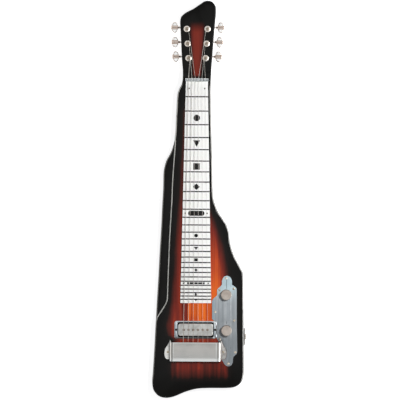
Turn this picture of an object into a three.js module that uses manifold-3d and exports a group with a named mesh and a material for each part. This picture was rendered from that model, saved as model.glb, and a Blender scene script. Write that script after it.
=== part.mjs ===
// Six string lap steel guitar, lying on its back. Millimetres.
// +Y runs from the bridge to the headstock, +X to the treble side, +Z out of the face.
// The origin is on the back, straight below the middle of the bridge saddle.
import * as THREE from "three";
import { mergeVertices } from "three/addons/utils/BufferGeometryUtils.js";
import Module from "manifold-3d";

const wasm = await Module();
wasm.setup();

// Driving dimensions of the whole guitar
const scaleLength = 584.2; // nut to bridge saddle, 23 inches
const tailLength = 97; // saddle to the far end of the body
const headLength = 174.8; // nut to the tip of the headstock
const bassReach = 92.9; // string line to the widest point on the bass side
const trebleReach = 104.4; // string line to the widest point on the treble side
const headReach = 40.3; // string line to the widest point of the headstock
const bodyThickness = 44;
const ledgeDrop = 12; // the bass side ledge lies this far below the face
const edgeRound = 3.5; // rounding of the wood's edges
const roundSteps = 2; // facets across that rounding
const headFaceDrop = 9.5; // headstock face below the body's face
const headThickness = 15;
const fit = 0.3; // clearance between neighbouring pieces
const overrun = 2; // how far a cutter runs past what it cuts
const samplesPerPoint = 2; // outline points made for each chosen point
const straightWithin = 0.12; // outline points closer than this to a straight edge are left out

// Fingerboard
const boardNutHalf = 23.65;
const boardEndHalf = 33.2;
const boardThickness = 3;
const neckMargin = 6.5; // wood showing beside the fingerboard
const fretCount = 28;
const boardTailGap = 8.2; // last fret line to the end of the board
const fretLineWidth = 1.2;
const fretLineDepth = 0.5;
const markerSize = 13; // the largest position markers
const octaveMarkerLength = 34;

// Strings, from bass to treble
const stringDiameters = [1.2, 1.0, 0.8, 0.62, 0.48, 0.4];
const stringHeight = 10.4; // underside of the strings above the face
const nutSpacing = 7.2;
const bridgeSpacing = 10.7;
const windingTurns = [2, 2, 2.25, 2.5, 2.5, 2.5];
const windingGap = 0.48; // between the loops on a post
const windingSteps = 12; // steps in one loop
const stringSides = 5;
const ballRadius = 1.9;

// Nut and bridge
const nutDepth = 6.6; // along the strings
const nutOverhang = 0.9; // past the edge of the fingerboard
const nutHorn = 1.8; // metal standing above the bottom of the notches
const notchMargin = 0.4; // either side of a string in its notch
const saddleDepth = 6;
const bridgeMargin = 6.5; // bridge plate past the outer strings
const bridgePlateThickness = 2;
const bridgeFront = 12; // saddle to the front edge of the bridge plate
const anchorBack = 11; // saddle to the back of the upright that holds the ball ends
const slotDepth = 6; // string slots in that upright

// Bridge cover
const coverHalf = 54.9;
const coverFront = 24;
const coverBack = 16.5;
const coverThickness = 1.5;
const coverHeadroom = 8; // between the strings and the underside of the cover
const coverBend = 5;
const coverBendSteps = 4;
const coverEarLength = 11.6;
const coverEarFront = 28;
const coverEarBack = 13.7;
const coverScrewInset = 4.6; // screw centre outside the cover's wall
const coverScrewPlace = 2.6; // in front of the saddle

// Pickup
const pickupPlace = 50.4; // saddle to the middle of the pickup
const ringLength = 91;
const ringWidth = 38;
const ringHeight = 3.5;
const ringCorner = 5;
const ringEndWidth = 6.85; // metal at each end of the ring's window
const ringRailWidth = 2.7; // metal along each long side of the window
const windowCorner = 4;
const pickupEndGap = 1.55; // between the pickup's cover and the window's ends
const pickupSideGap = 3.2; // between the pickup's cover and the window's long sides
const pickupCorner = 3.6;
const pickupDrop = 3.4; // cover's top below the strings
const pickupWall = 0.8;
const pickupDepth = 16; // pocket below the face
const pocketMargin = 2; // ring's outer edge past the pocket
const poleInset = 11.6; // cover's end to the middle of the outer poles
const poleRadius = 2.3;
const poleProud = 0.4;
const coilMargin = 2.4; // between the coil and the cover's wall
const coilSlot = 3.3; // half width of the slot the pole pieces stand in
const basePlate = 1.5;
const keeperHeight = 3;
const ringScrewInset = 3.5; // ring's end to its screw

// Control plate
const plateGap = 2; // between the fingerboard's side line and the plate
const plateEdgeGap = 14.7; // between the plate and the widest point of the treble side
const plateLength = 194.7;
const plateTail = 27.8; // saddle to the tail end of the plate
const plateThickness = 1.6;
const ringScrewGap = 6.4; // ring's end to the plate screw beside it
const coverScrewGap = 2.4; // front of the cover's ear to that screw
const potRadius = 12;
const potDepth = 10;
const potBushingRadius = 4.7;
const potNutRadius = 7;
const potNutHeight = 2.2;
const potBushingProud = 4.6; // above the plate
const shaftRadius = 3;
const shaftDepth = 9; // how far a knob's shaft runs into its potentiometer
const cavityDepth = 26;
const cavityMargin = 1.3; // round each potentiometer
const channelHalf = 8; // half width of the channel between the potentiometers
const wireHalf = 3; // half width of the wire channel to the pickup
const knobRadius = 11.3;
const knobHeight = 18;
const knobGap = 1.3; // between the plate and the knob's skirt
const knobWall = 3;
const knobChamfer = 0.9;
const knobSides = 20;

// Output jack on the treble side
const jackPlace = 34.8; // saddle to the middle of the jack
const jackHeight = 22; // back to the middle of the jack
const jackPlateLength = 38;
const jackPlateWidth = 20;
const jackPlateThickness = 2.2;
const jackBoreRadius = 3.3; // takes a 6.35 mm plug
const jackSleeveRadius = 4.7;
const jackBodyRadius = 8;
const jackBodyLength = 22;
const jackHoleRadius = 9.5;
const jackHoleInset = 2.85; // tone knob's axis to the inner end of the jack's hole
const jackNutRadius = 7;
const jackNutHeight = 2.6;
const jackSides = 12;

// Screws
const screwHeadRadius = 2.6;
const screwHeadHeight = 1.3;
const screwRadius = 1.3;
const screwLength = 11; // in the wood
const screwSides = 8;

// Tuners
const postRadius = 3;
const waistRadius = 2.5; // where the string winds
const waistGap = 1.6; // bushing to the start of the waist
const waistLength = 7.4;
const capHeight = 2;
const stringHoleRadius = 1;
const bushingRadius = 4.9;
const bushingDepth = 7.5;
const flangeRadius = 6.7;
const flangeHeight = 1.9;
const roundSides = 10;
const housingInner = 7; // post to the housing's inner end
const housingOuter = 8; // post to the housing's end on the button's side
const housingTail = 5.6; // post to the housing's side away from the worm
const housingHeight = 12;
const housingWall = 2;
const housingRound = 1.2;
const wormDrop = 6.5; // headstock's back to the worm's axis
const gearDistance = 4.6; // post axis to worm axis
const wheelTeeth = 14;
const threadPitch = 1.35;
const threadHeight = 0.85;
const wormCore = 1.05;
const threadTip = 0.36; // width of the thread's crest
const threadRoot = 0.56; // width of the thread at the core
const toothTip = 0.3;
const toothRoot = 0.52;
const wheelFace = 2.2;
const wormLength = 3;
const wormSteps = 8; // thread steps in one turn
const collarRadius = 1.9;
const wheelClearance = 0.45; // round the wheel in its pocket
const buttonNeck = 5.6; // headstock's edge to the button
const buttonWidth = 14.5; // along the shaft
const buttonLength = 23.5;
const buttonThickness = 4.4;
const buttonRound = 1.2;
const buttonSteps = 14;
const hubRadius = 3.3;
const hubProud = 0.8; // hub past the button's outer edge
const ferruleRadius = 2.6;
const ferruleLength = 2;

// Heights worked out from the sizes above
const face = bodyThickness;
const headFace = face - headFaceDrop;
const headBack = headFace - headThickness;
const stringSeat = face + stringHeight;
const plateTop = face + fit + plateThickness;
const flangeTop = headFace + fit + flangeHeight;
const waistBottom = flangeTop + waistGap;
const waistTop = waistBottom + waistLength;

// Helpers for solids
const at = (geometry, x, y, z) => geometry.translate(x, y, z);

function solidOf(geometry) {
  const bare = geometry.index ? geometry.toNonIndexed() : geometry.clone();
  bare.deleteAttribute("normal");
  bare.deleteAttribute("uv");
  const merged = mergeVertices(bare, 1e-4);
  const index = merged.index.array;
  const kept = [];
  for (let i = 0; i < index.length; i += 3) {
    const [a, b, c] = [index[i], index[i + 1], index[i + 2]];
    if (a !== b && b !== c && c !== a) kept.push(a, b, c);
  }
  const vertProperties = new Float32Array(merged.attributes.position.array);
  if (signedVolume(vertProperties, kept) < 0) kept.reverse();
  const triVerts = new Uint32Array(kept);
  return new wasm.Manifold(new wasm.Mesh({ numProp: 3, vertProperties, triVerts }));
}

function signedVolume(positions, index) {
  const corner = (i) => new THREE.Vector3().fromArray(positions, index[i] * 3);
  let volume = 0;
  for (let i = 0; i < index.length; i += 3) {
    volume += corner(i).dot(corner(i + 1).cross(corner(i + 2)));
  }
  return volume;
}

function geometryOf(solid) {
  const { vertProperties, triVerts } = solid.getMesh();
  const geometry = new THREE.BufferGeometry();
  geometry.setAttribute("position", new THREE.BufferAttribute(new Float32Array(vertProperties), 3));
  geometry.setIndex([...triVerts]);
  const flat = geometry.toNonIndexed();
  flat.computeVertexNormals();
  return flat;
}

function carve(base, cutters = [], additions = []) {
  let solid = solidOf(base);
  for (const addition of additions) solid = solid.add(solidOf(addition));
  for (const cutter of cutters) solid = solid.subtract(solidOf(cutter));
  return geometryOf(solid);
}

const shapeOf = (points) => new THREE.Shape(points.map(([x, y]) => new THREE.Vector2(x, y)));

function prism(shape, bottom, top) {
  return at(new THREE.ExtrudeGeometry(shape, { depth: top - bottom, bevelEnabled: false }), 0, 0, bottom);
}

function roundedPrism(points, bottom, top, round, steps) {
  const settings = {
    depth: top - bottom - 2 * round,
    bevelThickness: round,
    bevelSize: round,
    bevelOffset: -round,
    bevelSegments: steps,
  };
  return at(new THREE.ExtrudeGeometry(shapeOf(points), settings), 0, 0, bottom + round);
}

function block(x0, x1, y0, y1, z0, z1) {
  return at(new THREE.BoxGeometry(x1 - x0, y1 - y0, z1 - z0), (x0 + x1) / 2, (y0 + y1) / 2, (z0 + z1) / 2);
}

function roundedRectangle(length, width, corner, cornerSteps = 3) {
  const points = [];
  for (let quarter = 0; quarter < 4; quarter += 1) {
    const sx = quarter === 0 || quarter === 3 ? 1 : -1;
    const sy = quarter < 2 ? 1 : -1;
    for (let i = 0; i <= cornerSteps; i += 1) {
      const angle = ((quarter + i / cornerSteps) * Math.PI) / 2;
      points.push([
        sx * (length / 2 - corner) + corner * Math.cos(angle),
        sy * (width / 2 - corner) + corner * Math.sin(angle),
      ]);
    }
  }
  return points;
}

const shifted = (points, x, y) => points.map(([px, py]) => [px + x, py + y]);

// A turned piece about Z from [radius, height] pairs that start and end on the axis
function turned(profile, sides = roundSides) {
  const points = profile.map(([radius, height]) => new THREE.Vector2(radius, height));
  return new THREE.LatheGeometry(points, sides).rotateX(Math.PI / 2);
}

const alongX = (geometry, side = 1) => geometry.rotateY((side * Math.PI) / 2);

const drill = (x, y, radius, bottom, top, sides = roundSides) =>
  at(turned([[0, bottom], [radius, bottom], [radius, top], [0, top]], sides), x, y, 0);

// A closed tube through points, one radius for each point
function tube(points, radii, sides) {
  const rings = [];
  let normal = null;
  points.forEach((point, i) => {
    const before = points[Math.max(i - 1, 0)];
    const after = points[Math.min(i + 1, points.length - 1)];
    const along = after.clone().sub(before).normalize();
    if (normal === null) normal = new THREE.Vector3(0, 0, 1);
    normal = normal.sub(along.clone().multiplyScalar(normal.dot(along))).normalize();
    const across = along.clone().cross(normal);
    const ring = [];
    for (let k = 0; k < sides; k += 1) {
      const angle = (2 * Math.PI * k) / sides;
      const spoke = normal.clone().multiplyScalar(Math.cos(angle) * radii[i]);
      spoke.add(across.clone().multiplyScalar(Math.sin(angle) * radii[i]));
      ring.push(point.clone().add(spoke));
    }
    rings.push(ring);
  });
  return loft(rings, false);
}

// Joins rings of points into one closed skin, with flat ends unless it closes on itself
function loft(rings, closed) {
  const triangles = [];
  const sides = rings[0].length;
  const last = closed ? rings.length : rings.length - 1;
  for (let i = 0; i < last; i += 1) {
    const low = rings[i];
    const high = rings[(i + 1) % rings.length];
    for (let k = 0; k < sides; k += 1) {
      const n = (k + 1) % sides;
      triangles.push(low[k], high[k], high[n], low[k], high[n], low[n]);
    }
  }
  if (!closed) {
    const [first, end] = [rings[0], rings[rings.length - 1]];
    for (let k = 1; k < sides - 1; k += 1) {
      triangles.push(first[0], first[k], first[k + 1]);
      triangles.push(end[0], end[k + 1], end[k]);
    }
  }
  const geometry = new THREE.BufferGeometry().setFromPoints(triangles);
  geometry.computeVertexNormals();
  return geometry;
}

// Makers of materials and meshes
const finish = (color, roughness, metalness) => new THREE.MeshStandardMaterial({ color, roughness, metalness });

const guitar = new THREE.Group();

function piece(name, geometry, material, parent = guitar) {
  const mesh = new THREE.Mesh(geometry, material);
  mesh.name = name;
  parent.add(mesh);
  return mesh;
}

// Places on the neck and the body's outline
const fretPlace = (fret) => scaleLength * 2 ** (-fret / 12);
const boardEnd = fretPlace(fretCount) - boardTailGap;

function boardHalfAt(y) {
  const along = Math.min(Math.max((y - boardEnd) / (scaleLength - boardEnd), 0), 1);
  return boardEndHalf + (boardNutHalf - boardEndHalf) * along;
}

// Each pair: share of the scale length from the saddle, share of the flare past the neck's edge
const bassEdgeShares = [
  [1.003, 0.021], [0.989, 0.053], [0.974, 0.142], [0.955, 0.209], [0.915, 0.229], [0.871, 0.243],
  [0.798, 0.265], [0.768, 0.32], [0.738, 0.426], [0.709, 0.593], [0.68, 0.675], [0.664, 0.694],
  [0.606, 0.694], [0.548, 0.714], [0.474, 0.731], [0.37, 0.77], [0.282, 0.796], [0.193, 0.831],
  [0.104, 0.876], [0.017, 0.921], [-0.072, 0.976],
];
const trebleEdgeShares = [
  [0.993, -0.006], [0.941, -0.01], [0.871, -0.012], [0.768, 0], [0.664, 0.006], [0.606, 0.008],
  [0.577, 0.02], [0.5615, 0.044], [0.548, 0.08], [0.532, 0.132], [0.517, 0.198], [0.503, 0.28],
  [0.488, 0.367], [0.474, 0.448], [0.459, 0.492], [0.445, 0.523], [0.414, 0.553], [0.385, 0.608],
  [0.356, 0.7], [0.327, 0.837], [0.3115, 0.906], [0.298, 0.968], [0.286, 0.978], [0.267, 0.983],
  [0.193, 0.977], [0.104, 0.986], [0.017, 0.995], [-0.027, 1],
];
// Each pair: share of the reach to that side, share of the tail length below the saddle
const trebleTailShares = [
  [0.997, 0.474], [0.963, 0.613], [0.886, 0.711], [0.785, 0.758], [0.655, 0.774], [0.235, 0.779],
  [0.025, 0.796],
];
const bassTailShares = [
  [0.23, 0.864], [0.499, 0.971], [0.679, 1], [0.828, 0.969], [0.933, 0.881], [0.98, 0.794], [1, 0.619],
];
// Each pair: share of the headstock's reach, share of its length past the nut
const trebleHeadShares = [
  [0.759, 0.1075], [0.804, 0.256], [0.851, 0.405], [0.911, 0.605], [0.965, 0.748], [0.995, 0.8225],
  [1, 0.897], [0.9926, 0.923], [0.948, 0.9485], [0.876, 0.971], [0.789, 0.99], [0.66, 1],
  [0.484, 1], [0.3275, 0.9886], [0.228, 0.971], [0.079, 0.9485],
];
const bassHeadShares = [
  [0.079, 0.923], [0.253, 0.897], [0.4615, 0.874], [0.648, 0.849], [0.784, 0.8225], [0.868, 0.8],
  [0.902, 0.775], [0.918, 0.748], [0.916, 0.7025], [0.888, 0.605], [0.846, 0.405], [0.806, 0.256],
  [0.767, 0.159], [0.754, 0.073],
];
// The edge of the higher tier beside the ledge, in shares as the bass edge
const ledgeShares = [
  [0.78, 0.262], [0.71, 0.304], [0.637, 0.34], [0.563, 0.352], [0.49, 0.379], [0.416, 0.405],
  [0.342, 0.416], [0.269, 0.427], [0.215, 0.433], [0.197, 0.437], [0.18, 0.5], [0.154, 0.677],
  [0.132, 0.825],
];

function edgePoint(side, [alongShare, flareShare]) {
  const y = alongShare * scaleLength;
  const reach = side > 0 ? trebleReach : bassReach;
  const flare = reach - boardEndHalf - neckMargin;
  return [side * (boardHalfAt(y) + neckMargin + flareShare * flare), y];
}

const tailPoint = (side, [reachShare, tailShare]) => [
  side * reachShare * (side > 0 ? trebleReach : bassReach),
  -tailShare * tailLength,
];

const headPoint = (side, [reachShare, lengthShare]) => [
  side * reachShare * headReach,
  scaleLength + lengthShare * headLength,
];

function smoothed(points, closed) {
  const chosen = points.map(([x, y]) => new THREE.Vector3(x, y, 0));
  const curve = new THREE.CatmullRomCurve3(chosen, closed, "centripetal");
  const spans = closed ? points.length : points.length - 1;
  const samples = curve.getPoints(spans * samplesPerPoint);
  if (closed) samples.pop();
  return samples.map(({ x, y }) => [x, y]);
}

function withoutStraightPoints(points) {
  return points.filter(([x, y], i) => {
    const [ax, ay] = points[(i + points.length - 1) % points.length];
    const [bx, by] = points[(i + 1) % points.length];
    const offset = ((bx - ax) * (ay - y) - (ax - x) * (by - ay)) / Math.hypot(bx - ax, by - ay);
    return Math.abs(offset) > straightWithin;
  });
}

const outline = withoutStraightPoints(
  smoothed(
    [
      ...trebleTailShares.map((pair) => tailPoint(1, pair)).reverse(),
      ...trebleEdgeShares.map((pair) => edgePoint(1, pair)).reverse(),
      ...trebleHeadShares.map((pair) => headPoint(1, pair)),
      ...bassHeadShares.map((pair) => headPoint(-1, pair)),
      ...bassEdgeShares.map((pair) => edgePoint(-1, pair)),
      ...bassTailShares.map((pair) => tailPoint(-1, pair)).reverse(),
    ],
    true,
  ),
);

// Widest place of the outline on one side between two heights along the strings
function edgeAt(side, from, to) {
  let widest = 0;
  outline.forEach(([x, y], i) => {
    const [nx, ny] = outline[(i + 1) % outline.length];
    const [low, high] = [Math.min(y, ny), Math.max(y, ny)];
    if (side * x > 0 && side * nx > 0 && high >= from && low <= to) {
      const place = (t) => x + (nx - x) * Math.min(Math.max((t - y) / (ny - y), 0), 1);
      widest = Math.max(widest, side * place(from), side * place(to));
    }
  });
  return widest;
}

// Pickup: lengths that follow from the ring's
const windowLength = ringLength - 2 * ringEndWidth;
const windowWidth = ringWidth - 2 * ringRailWidth;
const pickupLength = windowLength - 2 * pickupEndGap;
const pickupWidth = windowWidth - 2 * pickupSideGap;
const poleSpacing = (pickupLength - 2 * poleInset) / 5;
const ringScrewPlace = ringLength / 2 - ringScrewInset;

// Control plate: where its parts lie
const plateLeft = boardEndHalf + plateGap;
const plateRight = trebleReach - plateEdgeGap;
const between = (low, high, share) => low + share * (high - low);
const onPlate = ([acrossShare, alongShare]) => [
  between(plateLeft, plateRight, acrossShare),
  alongShare * plateLength - plateTail,
];
const plateShoulderShare = 0.742; // along the plate, where it steps out beside the fingerboard
const [, plateShoulder] = onPlate([0, plateShoulderShare]);
const screwByRing = [between(plateLeft, plateRight, 0.119),
  between(pickupPlace + ringWidth / 2, plateShoulder, 0.41)];
const screwByEar = [between(coverHalf + coverEarLength, plateRight, 0.823), onPlate([0, 0.155])[1]];
const screwByPickup = [ringLength / 2 + ringScrewGap, coverEarFront + coverScrewGap];
const plateScrewPlaces = [
  onPlate([0.545, 0.973]), onPlate([0.2826, 0.841]), onPlate([0.8495, 0.857]), screwByRing,
  onPlate([0.875, 0.506]), screwByEar, onPlate([0.651, 0.03]), screwByPickup,
];
// Each pair: share of the way from the ring's end to the plate's edge, share of the plate's length
const potPlaceShares = [[0.447, 0.7915], [0.468, 0.3975]];
const potPlaces = potPlaceShares.map(([acrossShare, alongShare]) =>
  [between(ringLength / 2, plateRight, acrossShare), onPlate([0, alongShare])[1]]);
const coverScrewPlaces = [-1, 1].map((side) => [side * (coverHalf + coverScrewInset), coverScrewPlace]);
const ringScrewPlaces = [-1, 1].map((side) => [side * ringScrewPlace, pickupPlace]);

// Tuners: where the posts stand
const postRowShares = [[0.459, 0.2906], [0.509, 0.47], [0.556, 0.651]]; // nearest the nut first
const postPlace = (side, row) => headPoint(side, postRowShares[row]);
const sides = [-1, 1];
const rows = [0, 1, 2];

// Body, one slab of wood with the neck and the headstock
const wood = finish(0x1f1a16, 0.25, 0);
const neckEnd = scaleLength + nutDepth + nutOverhang; // face ends just behind the nut
const scoopLength = 16; // the concave run down to the headstock's face
const heelLength = 30; // the rounded heel under the nut
const heelStart = scaleLength - headThickness;
const profileSteps = 5;
const tierFoot = edgeRound; // hidden lower edge of the higher tier

function headToBody() {
  const body = outline.filter(([, y]) => y < neckEnd + scoopLength);
  const head = outline.filter(([, y]) => y > heelStart);
  return { body, head };
}

function sideProfile() {
  const points = [[-tailLength - overrun, -overrun], [heelStart, -overrun]];
  for (let i = 0; i <= profileSteps; i += 1) {
    const angle = (i / profileSteps) * (Math.PI / 2);
    points.push([
      heelStart + heelLength * Math.sin(angle),
      headBack * (1 - Math.cos(angle)),
    ]);
  }
  points.push([neckEnd + scoopLength + overrun, headBack]);
  points.push([neckEnd + scoopLength + overrun, headFace]);
  for (let i = 0; i <= profileSteps; i += 1) {
    const angle = (1 - i / profileSteps) * (Math.PI / 2);
    points.push([
      neckEnd + scoopLength * (1 - Math.cos(angle)),
      face - headFaceDrop * Math.sin(angle),
    ]);
  }
  points.push([neckEnd, face + overrun], [-tailLength - overrun, face + overrun]);
  const slab = prism(shapeOf(points), -trebleReach - overrun, trebleReach + overrun);
  return slab.rotateZ(Math.PI / 2).rotateY(Math.PI / 2);
}

function higherTier(body) {
  const ledge = smoothed(ledgeShares.map((pair) => edgePoint(-1, pair)), false);
  const top = ledge[0][1];
  const bottom = ledge[ledge.length - 1][1];
  const points = [];
  let placed = false;
  for (const [x, y] of body) {
    const besideLedge = x < 0 && y < top && y > bottom;
    if (!besideLedge) points.push([x, y]);
    else if (!placed) {
      points.push(...ledge);
      placed = true;
    }
  }
  return points;
}

function bodyCutters() {
  const cutters = [];
  const pocketHalf = ringLength / 2 - pocketMargin;
  const pocketWide = ringWidth / 2 - pocketMargin;
  cutters.push(block(-pocketHalf, pocketHalf, pickupPlace - pocketWide, pickupPlace + pocketWide,
    face - pickupDepth, face + overrun));
  const cavityFloor = face - cavityDepth;
  for (const [x, y] of potPlaces) {
    cutters.push(drill(x, y, potRadius + cavityMargin, cavityFloor, face + overrun, 20));
  }
  const [[highX, highY], [lowX, lowY]] = potPlaces;
  const middle = (highX + lowX) / 2;
  cutters.push(block(middle - channelHalf, middle + channelHalf, lowY, highY, cavityFloor, face + overrun));
  cutters.push(block(pocketHalf - overrun, lowX, lowY - wireHalf, lowY + wireHalf,
    face - pickupDepth, face - pickupDepth + 2 * wireHalf));
  const jackEdge = jackFace();
  const jackHoleDepth = jackEdge - lowX - jackHoleInset;
  cutters.push(at(alongX(turned([[0, -jackHoleDepth], [jackHoleRadius, -jackHoleDepth],
    [jackHoleRadius, overrun], [0, overrun]], 16)), jackEdge, jackPlace, jackHeight));
  const pilots = [...plateScrewPlaces, ...coverScrewPlaces];
  for (const [x, y] of pilots) {
    cutters.push(drill(x, y, screwRadius + fit, face - screwLength - fit, face + overrun, screwSides));
  }
  for (const [x, y] of ringScrewPlaces) {
    const floor = face - pickupDepth;
    cutters.push(drill(x, y, screwRadius + fit, floor - screwLength - fit, floor + overrun, screwSides));
  }
  for (const side of sides) {
    for (const row of rows) {
      const [x, y] = postPlace(side, row);
      const seat = headFace - bushingDepth - fit;
      cutters.push(drill(x, y, postRadius + 2 * fit, headBack - overrun, headFace));
      cutters.push(drill(x, y, bushingRadius + fit, seat, headFace + overrun));
    }
  }
  return cutters;
}

function jackFace() {
  const half = jackPlateLength / 2;
  return edgeAt(1, jackPlace - half, jackPlace + half);
}

function bodyGeometry() {
  const { body, head } = headToBody();
  const low = roundedPrism(body, 0, face - ledgeDrop, edgeRound, roundSteps);
  const high = roundedPrism(higherTier(body), tierFoot, face, edgeRound, roundSteps);
  const headSlab = roundedPrism(head, headBack, headFace, edgeRound, roundSteps);
  let solid = solidOf(low).add(solidOf(high)).intersect(solidOf(sideProfile()));
  solid = solid.add(solidOf(headSlab));
  for (const cutter of bodyCutters()) solid = solid.subtract(solidOf(cutter));
  return geometryOf(solid);
}

piece("body", bodyGeometry(), wood);

// Fingerboard with its fret lines and position markers let into the top
const plastic = finish(0xf4f3ee, 0.35, 0);
const boardTop = face + fit + boardThickness;

function polygonPoints(radius, count, turn = 0) {
  const points = [];
  for (let i = 0; i < count; i += 1) {
    const angle = turn + (2 * Math.PI * i) / count;
    points.push([radius * Math.cos(angle), radius * Math.sin(angle)]);
  }
  return points;
}

const trianglePoints = (width, height) => [[-width / 2, height / 2], [0, -height / 2], [width / 2, height / 2]];
const diamondPoints = (width, height) => [[width / 2, 0], [0, height / 2], [-width / 2, 0], [0, -height / 2]];

// Each marker: the fret it stands below, and its outline, sized in shares of the large marker
function markers() {
  const big = markerSize;
  const [smallShare, tinyShare, slimShare] = [0.6, 0.35, 0.27];
  return [
    [3, polygonPoints(big / 2, 12)],
    [5, trianglePoints(big, big)],
    [7, roundedRectangle(big, big, fretLineDepth, 1)],
    [9, diamondPoints(big, big)],
    [12, roundedRectangle(octaveMarkerLength, 0.75 * big, 0.35 * big, 3)],
    [15, polygonPoints((smallShare * big) / 2, 10)],
    [17, trianglePoints(0.55 * big, 0.45 * big)],
    [19, roundedRectangle(0.45 * big, 0.45 * big, fretLineDepth / 2, 1)],
    [21, diamondPoints(0.45 * big, 0.45 * big)],
    [24, roundedRectangle(1.1 * octaveMarkerLength, slimShare * big, 0.12 * big, 2)],
    [27, polygonPoints((tinyShare * big) / 2, 8)],
    [28, trianglePoints(tinyShare * big, 0.25 * big)],
  ];
}

function fingerboardGeometry() {
  const nutEnd = scaleLength - fit;
  const board = prism(shapeOf([
    [-boardEndHalf, boardEnd], [boardEndHalf, boardEnd],
    [boardHalfAt(nutEnd), nutEnd], [-boardHalfAt(nutEnd), nutEnd],
  ]), face + fit, boardTop);
  const floor = boardTop - fretLineDepth;
  const cutters = [];
  for (let fret = 1; fret <= fretCount; fret += 1) {
    const y = fretPlace(fret);
    const half = boardEndHalf + overrun;
    cutters.push(block(-half, half, y - fretLineWidth / 2, y + fretLineWidth / 2, floor, boardTop + overrun));
  }
  for (const [fret, points] of markers()) {
    const y = (fretPlace(fret) + fretPlace(fret - 1)) / 2;
    cutters.push(prism(shapeOf(shifted(points, 0, y)), floor, boardTop + overrun));
  }
  return carve(board, cutters);
}

piece("fingerboard", fingerboardGeometry(), plastic);

// Nut with a notch for each string
const chrome = finish(0xd9dcdc, 0.12, 1);
const stringX = (string, spacing) => (string - (stringDiameters.length - 1) / 2) * spacing;

function nutGeometry() {
  const half = boardNutHalf + nutOverhang;
  const bar = block(-half, half, scaleLength, scaleLength + nutDepth, face + fit, stringSeat + nutHorn);
  const notches = stringDiameters.map((diameter, string) => {
    const x = stringX(string, nutSpacing);
    const wide = diameter / 2 + notchMargin;
    return block(x - wide, x + wide, scaleLength - overrun, scaleLength + nutDepth + overrun,
      stringSeat, stringSeat + nutHorn + overrun);
  });
  return carve(bar, notches);
}

piece("nut", nutGeometry(), chrome);

// Bridge plate, with the upright that holds the ball ends, and the saddle bar
const bridgeHalf = 2.5 * bridgeSpacing + bridgeMargin;
const bridgeTop = face + fit + bridgePlateThickness;
const ballPlace = -anchorBack - fit - ballRadius;

function bridgePlateGeometry() {
  const back = ballPlace - ballRadius - bridgePlateThickness / 2;
  const base = block(-bridgeHalf, bridgeHalf, back, bridgeFront, face + fit, bridgeTop);
  const upright = block(-bridgeHalf, bridgeHalf, -anchorBack, -anchorBack + bridgePlateThickness,
    face + fit, stringSeat + notchMargin);
  const slots = stringDiameters.map((diameter, string) => {
    const x = stringX(string, bridgeSpacing);
    const wide = diameter / 2 + notchMargin;
    return block(x - wide, x + wide, -anchorBack - overrun / 2, -anchorBack + bridgePlateThickness + overrun,
      stringSeat - slotDepth, stringSeat + overrun);
  });
  return carve(base, slots, [upright]);
}

function saddleGeometry() {
  const half = saddleDepth / 2;
  const bottom = bridgeTop + fit;
  const points = [[-half, bottom], [half, bottom]];
  for (let i = 0; i <= profileSteps; i += 1) {
    const angle = (i / profileSteps) * Math.PI;
    points.push([half * Math.cos(angle), stringSeat - half + half * Math.sin(angle)]);
  }
  const bar = prism(shapeOf(points), -bridgeHalf + fit, bridgeHalf - fit);
  return bar.rotateZ(Math.PI / 2).rotateY(Math.PI / 2);
}

piece("bridge_plate", bridgePlateGeometry(), chrome);
piece("bridge_saddle", saddleGeometry(), chrome);

// Bridge cover: one bent sheet with a rounded ear at each end
const coverTop = stringSeat + stringDiameters[0] + coverHeadroom + coverThickness;
// Each pair: share of the ear's length past the wall, place along the ear between front and back
const earShares = [[0, 0], [0.34, 0.21], [0.82, 0.42], [1, 0.6], [0.98, 0.79], [0.7, 0.96], [0, 1]];

function coverPlan(margin) {
  const earLength = coverEarFront + coverEarBack;
  const wall = coverHalf - coverThickness - margin;
  const ear = (side) => earShares.map(([outShare, alongShare]) => [
    side * (coverHalf + outShare * coverEarLength + margin),
    coverEarFront - alongShare * earLength + margin * (1 - 2 * alongShare),
  ]);
  return [
    [-coverHalf - margin, -coverBack - margin],
    [coverHalf + margin, -coverBack - margin],
    ...ear(1).reverse(),
    [wall, coverEarFront + margin],
    [wall, coverFront + margin],
    [-wall, coverFront + margin],
    [-wall, coverEarFront + margin],
    ...ear(-1),
  ];
}

function coverSection() {
  const foot = face + fit;
  const reach = coverHalf + coverEarLength + overrun;
  const arc = (centreX, radius, from, to) => {
    const points = [];
    for (let i = 0; i <= coverBendSteps; i += 1) {
      const angle = from + ((to - from) * i) / coverBendSteps;
      points.push([centreX + radius * Math.cos(angle), coverTop - coverBend + radius * Math.sin(angle)]);
    }
    return points;
  };
  const centre = coverHalf - coverBend;
  const outer = [
    ...arc(centre, coverBend, 0, Math.PI / 2),
    ...arc(-centre, coverBend, Math.PI / 2, Math.PI),
  ];
  const inner = [
    ...arc(-centre, coverBend - coverThickness, Math.PI, Math.PI / 2),
    ...arc(centre, coverBend - coverThickness, Math.PI / 2, 0),
  ];
  return [
    [coverHalf - coverThickness, foot], [reach, foot], [reach, foot + coverThickness],
    [coverHalf, foot + coverThickness],
    ...outer,
    [-coverHalf, foot + coverThickness], [-reach, foot + coverThickness], [-reach, foot],
    [-coverHalf + coverThickness, foot],
    ...inner,
  ];
}

function bridgeCoverGeometry() {
  const sheet = prism(shapeOf(coverSection()), -coverEarFront - overrun, coverBack + overrun);
  sheet.rotateX(Math.PI / 2);
  let solid = solidOf(sheet);
  solid = solid.intersect(solidOf(prism(shapeOf(coverPlan(0)), 0, coverTop + overrun)));
  for (const [x, y] of coverScrewPlaces) {
    solid = solid.subtract(solidOf(drill(x, y, screwRadius + fit, face, plateTop + overrun, screwSides)));
  }
  return geometryOf(solid);
}

piece("bridge_cover", bridgeCoverGeometry(), chrome);

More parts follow.
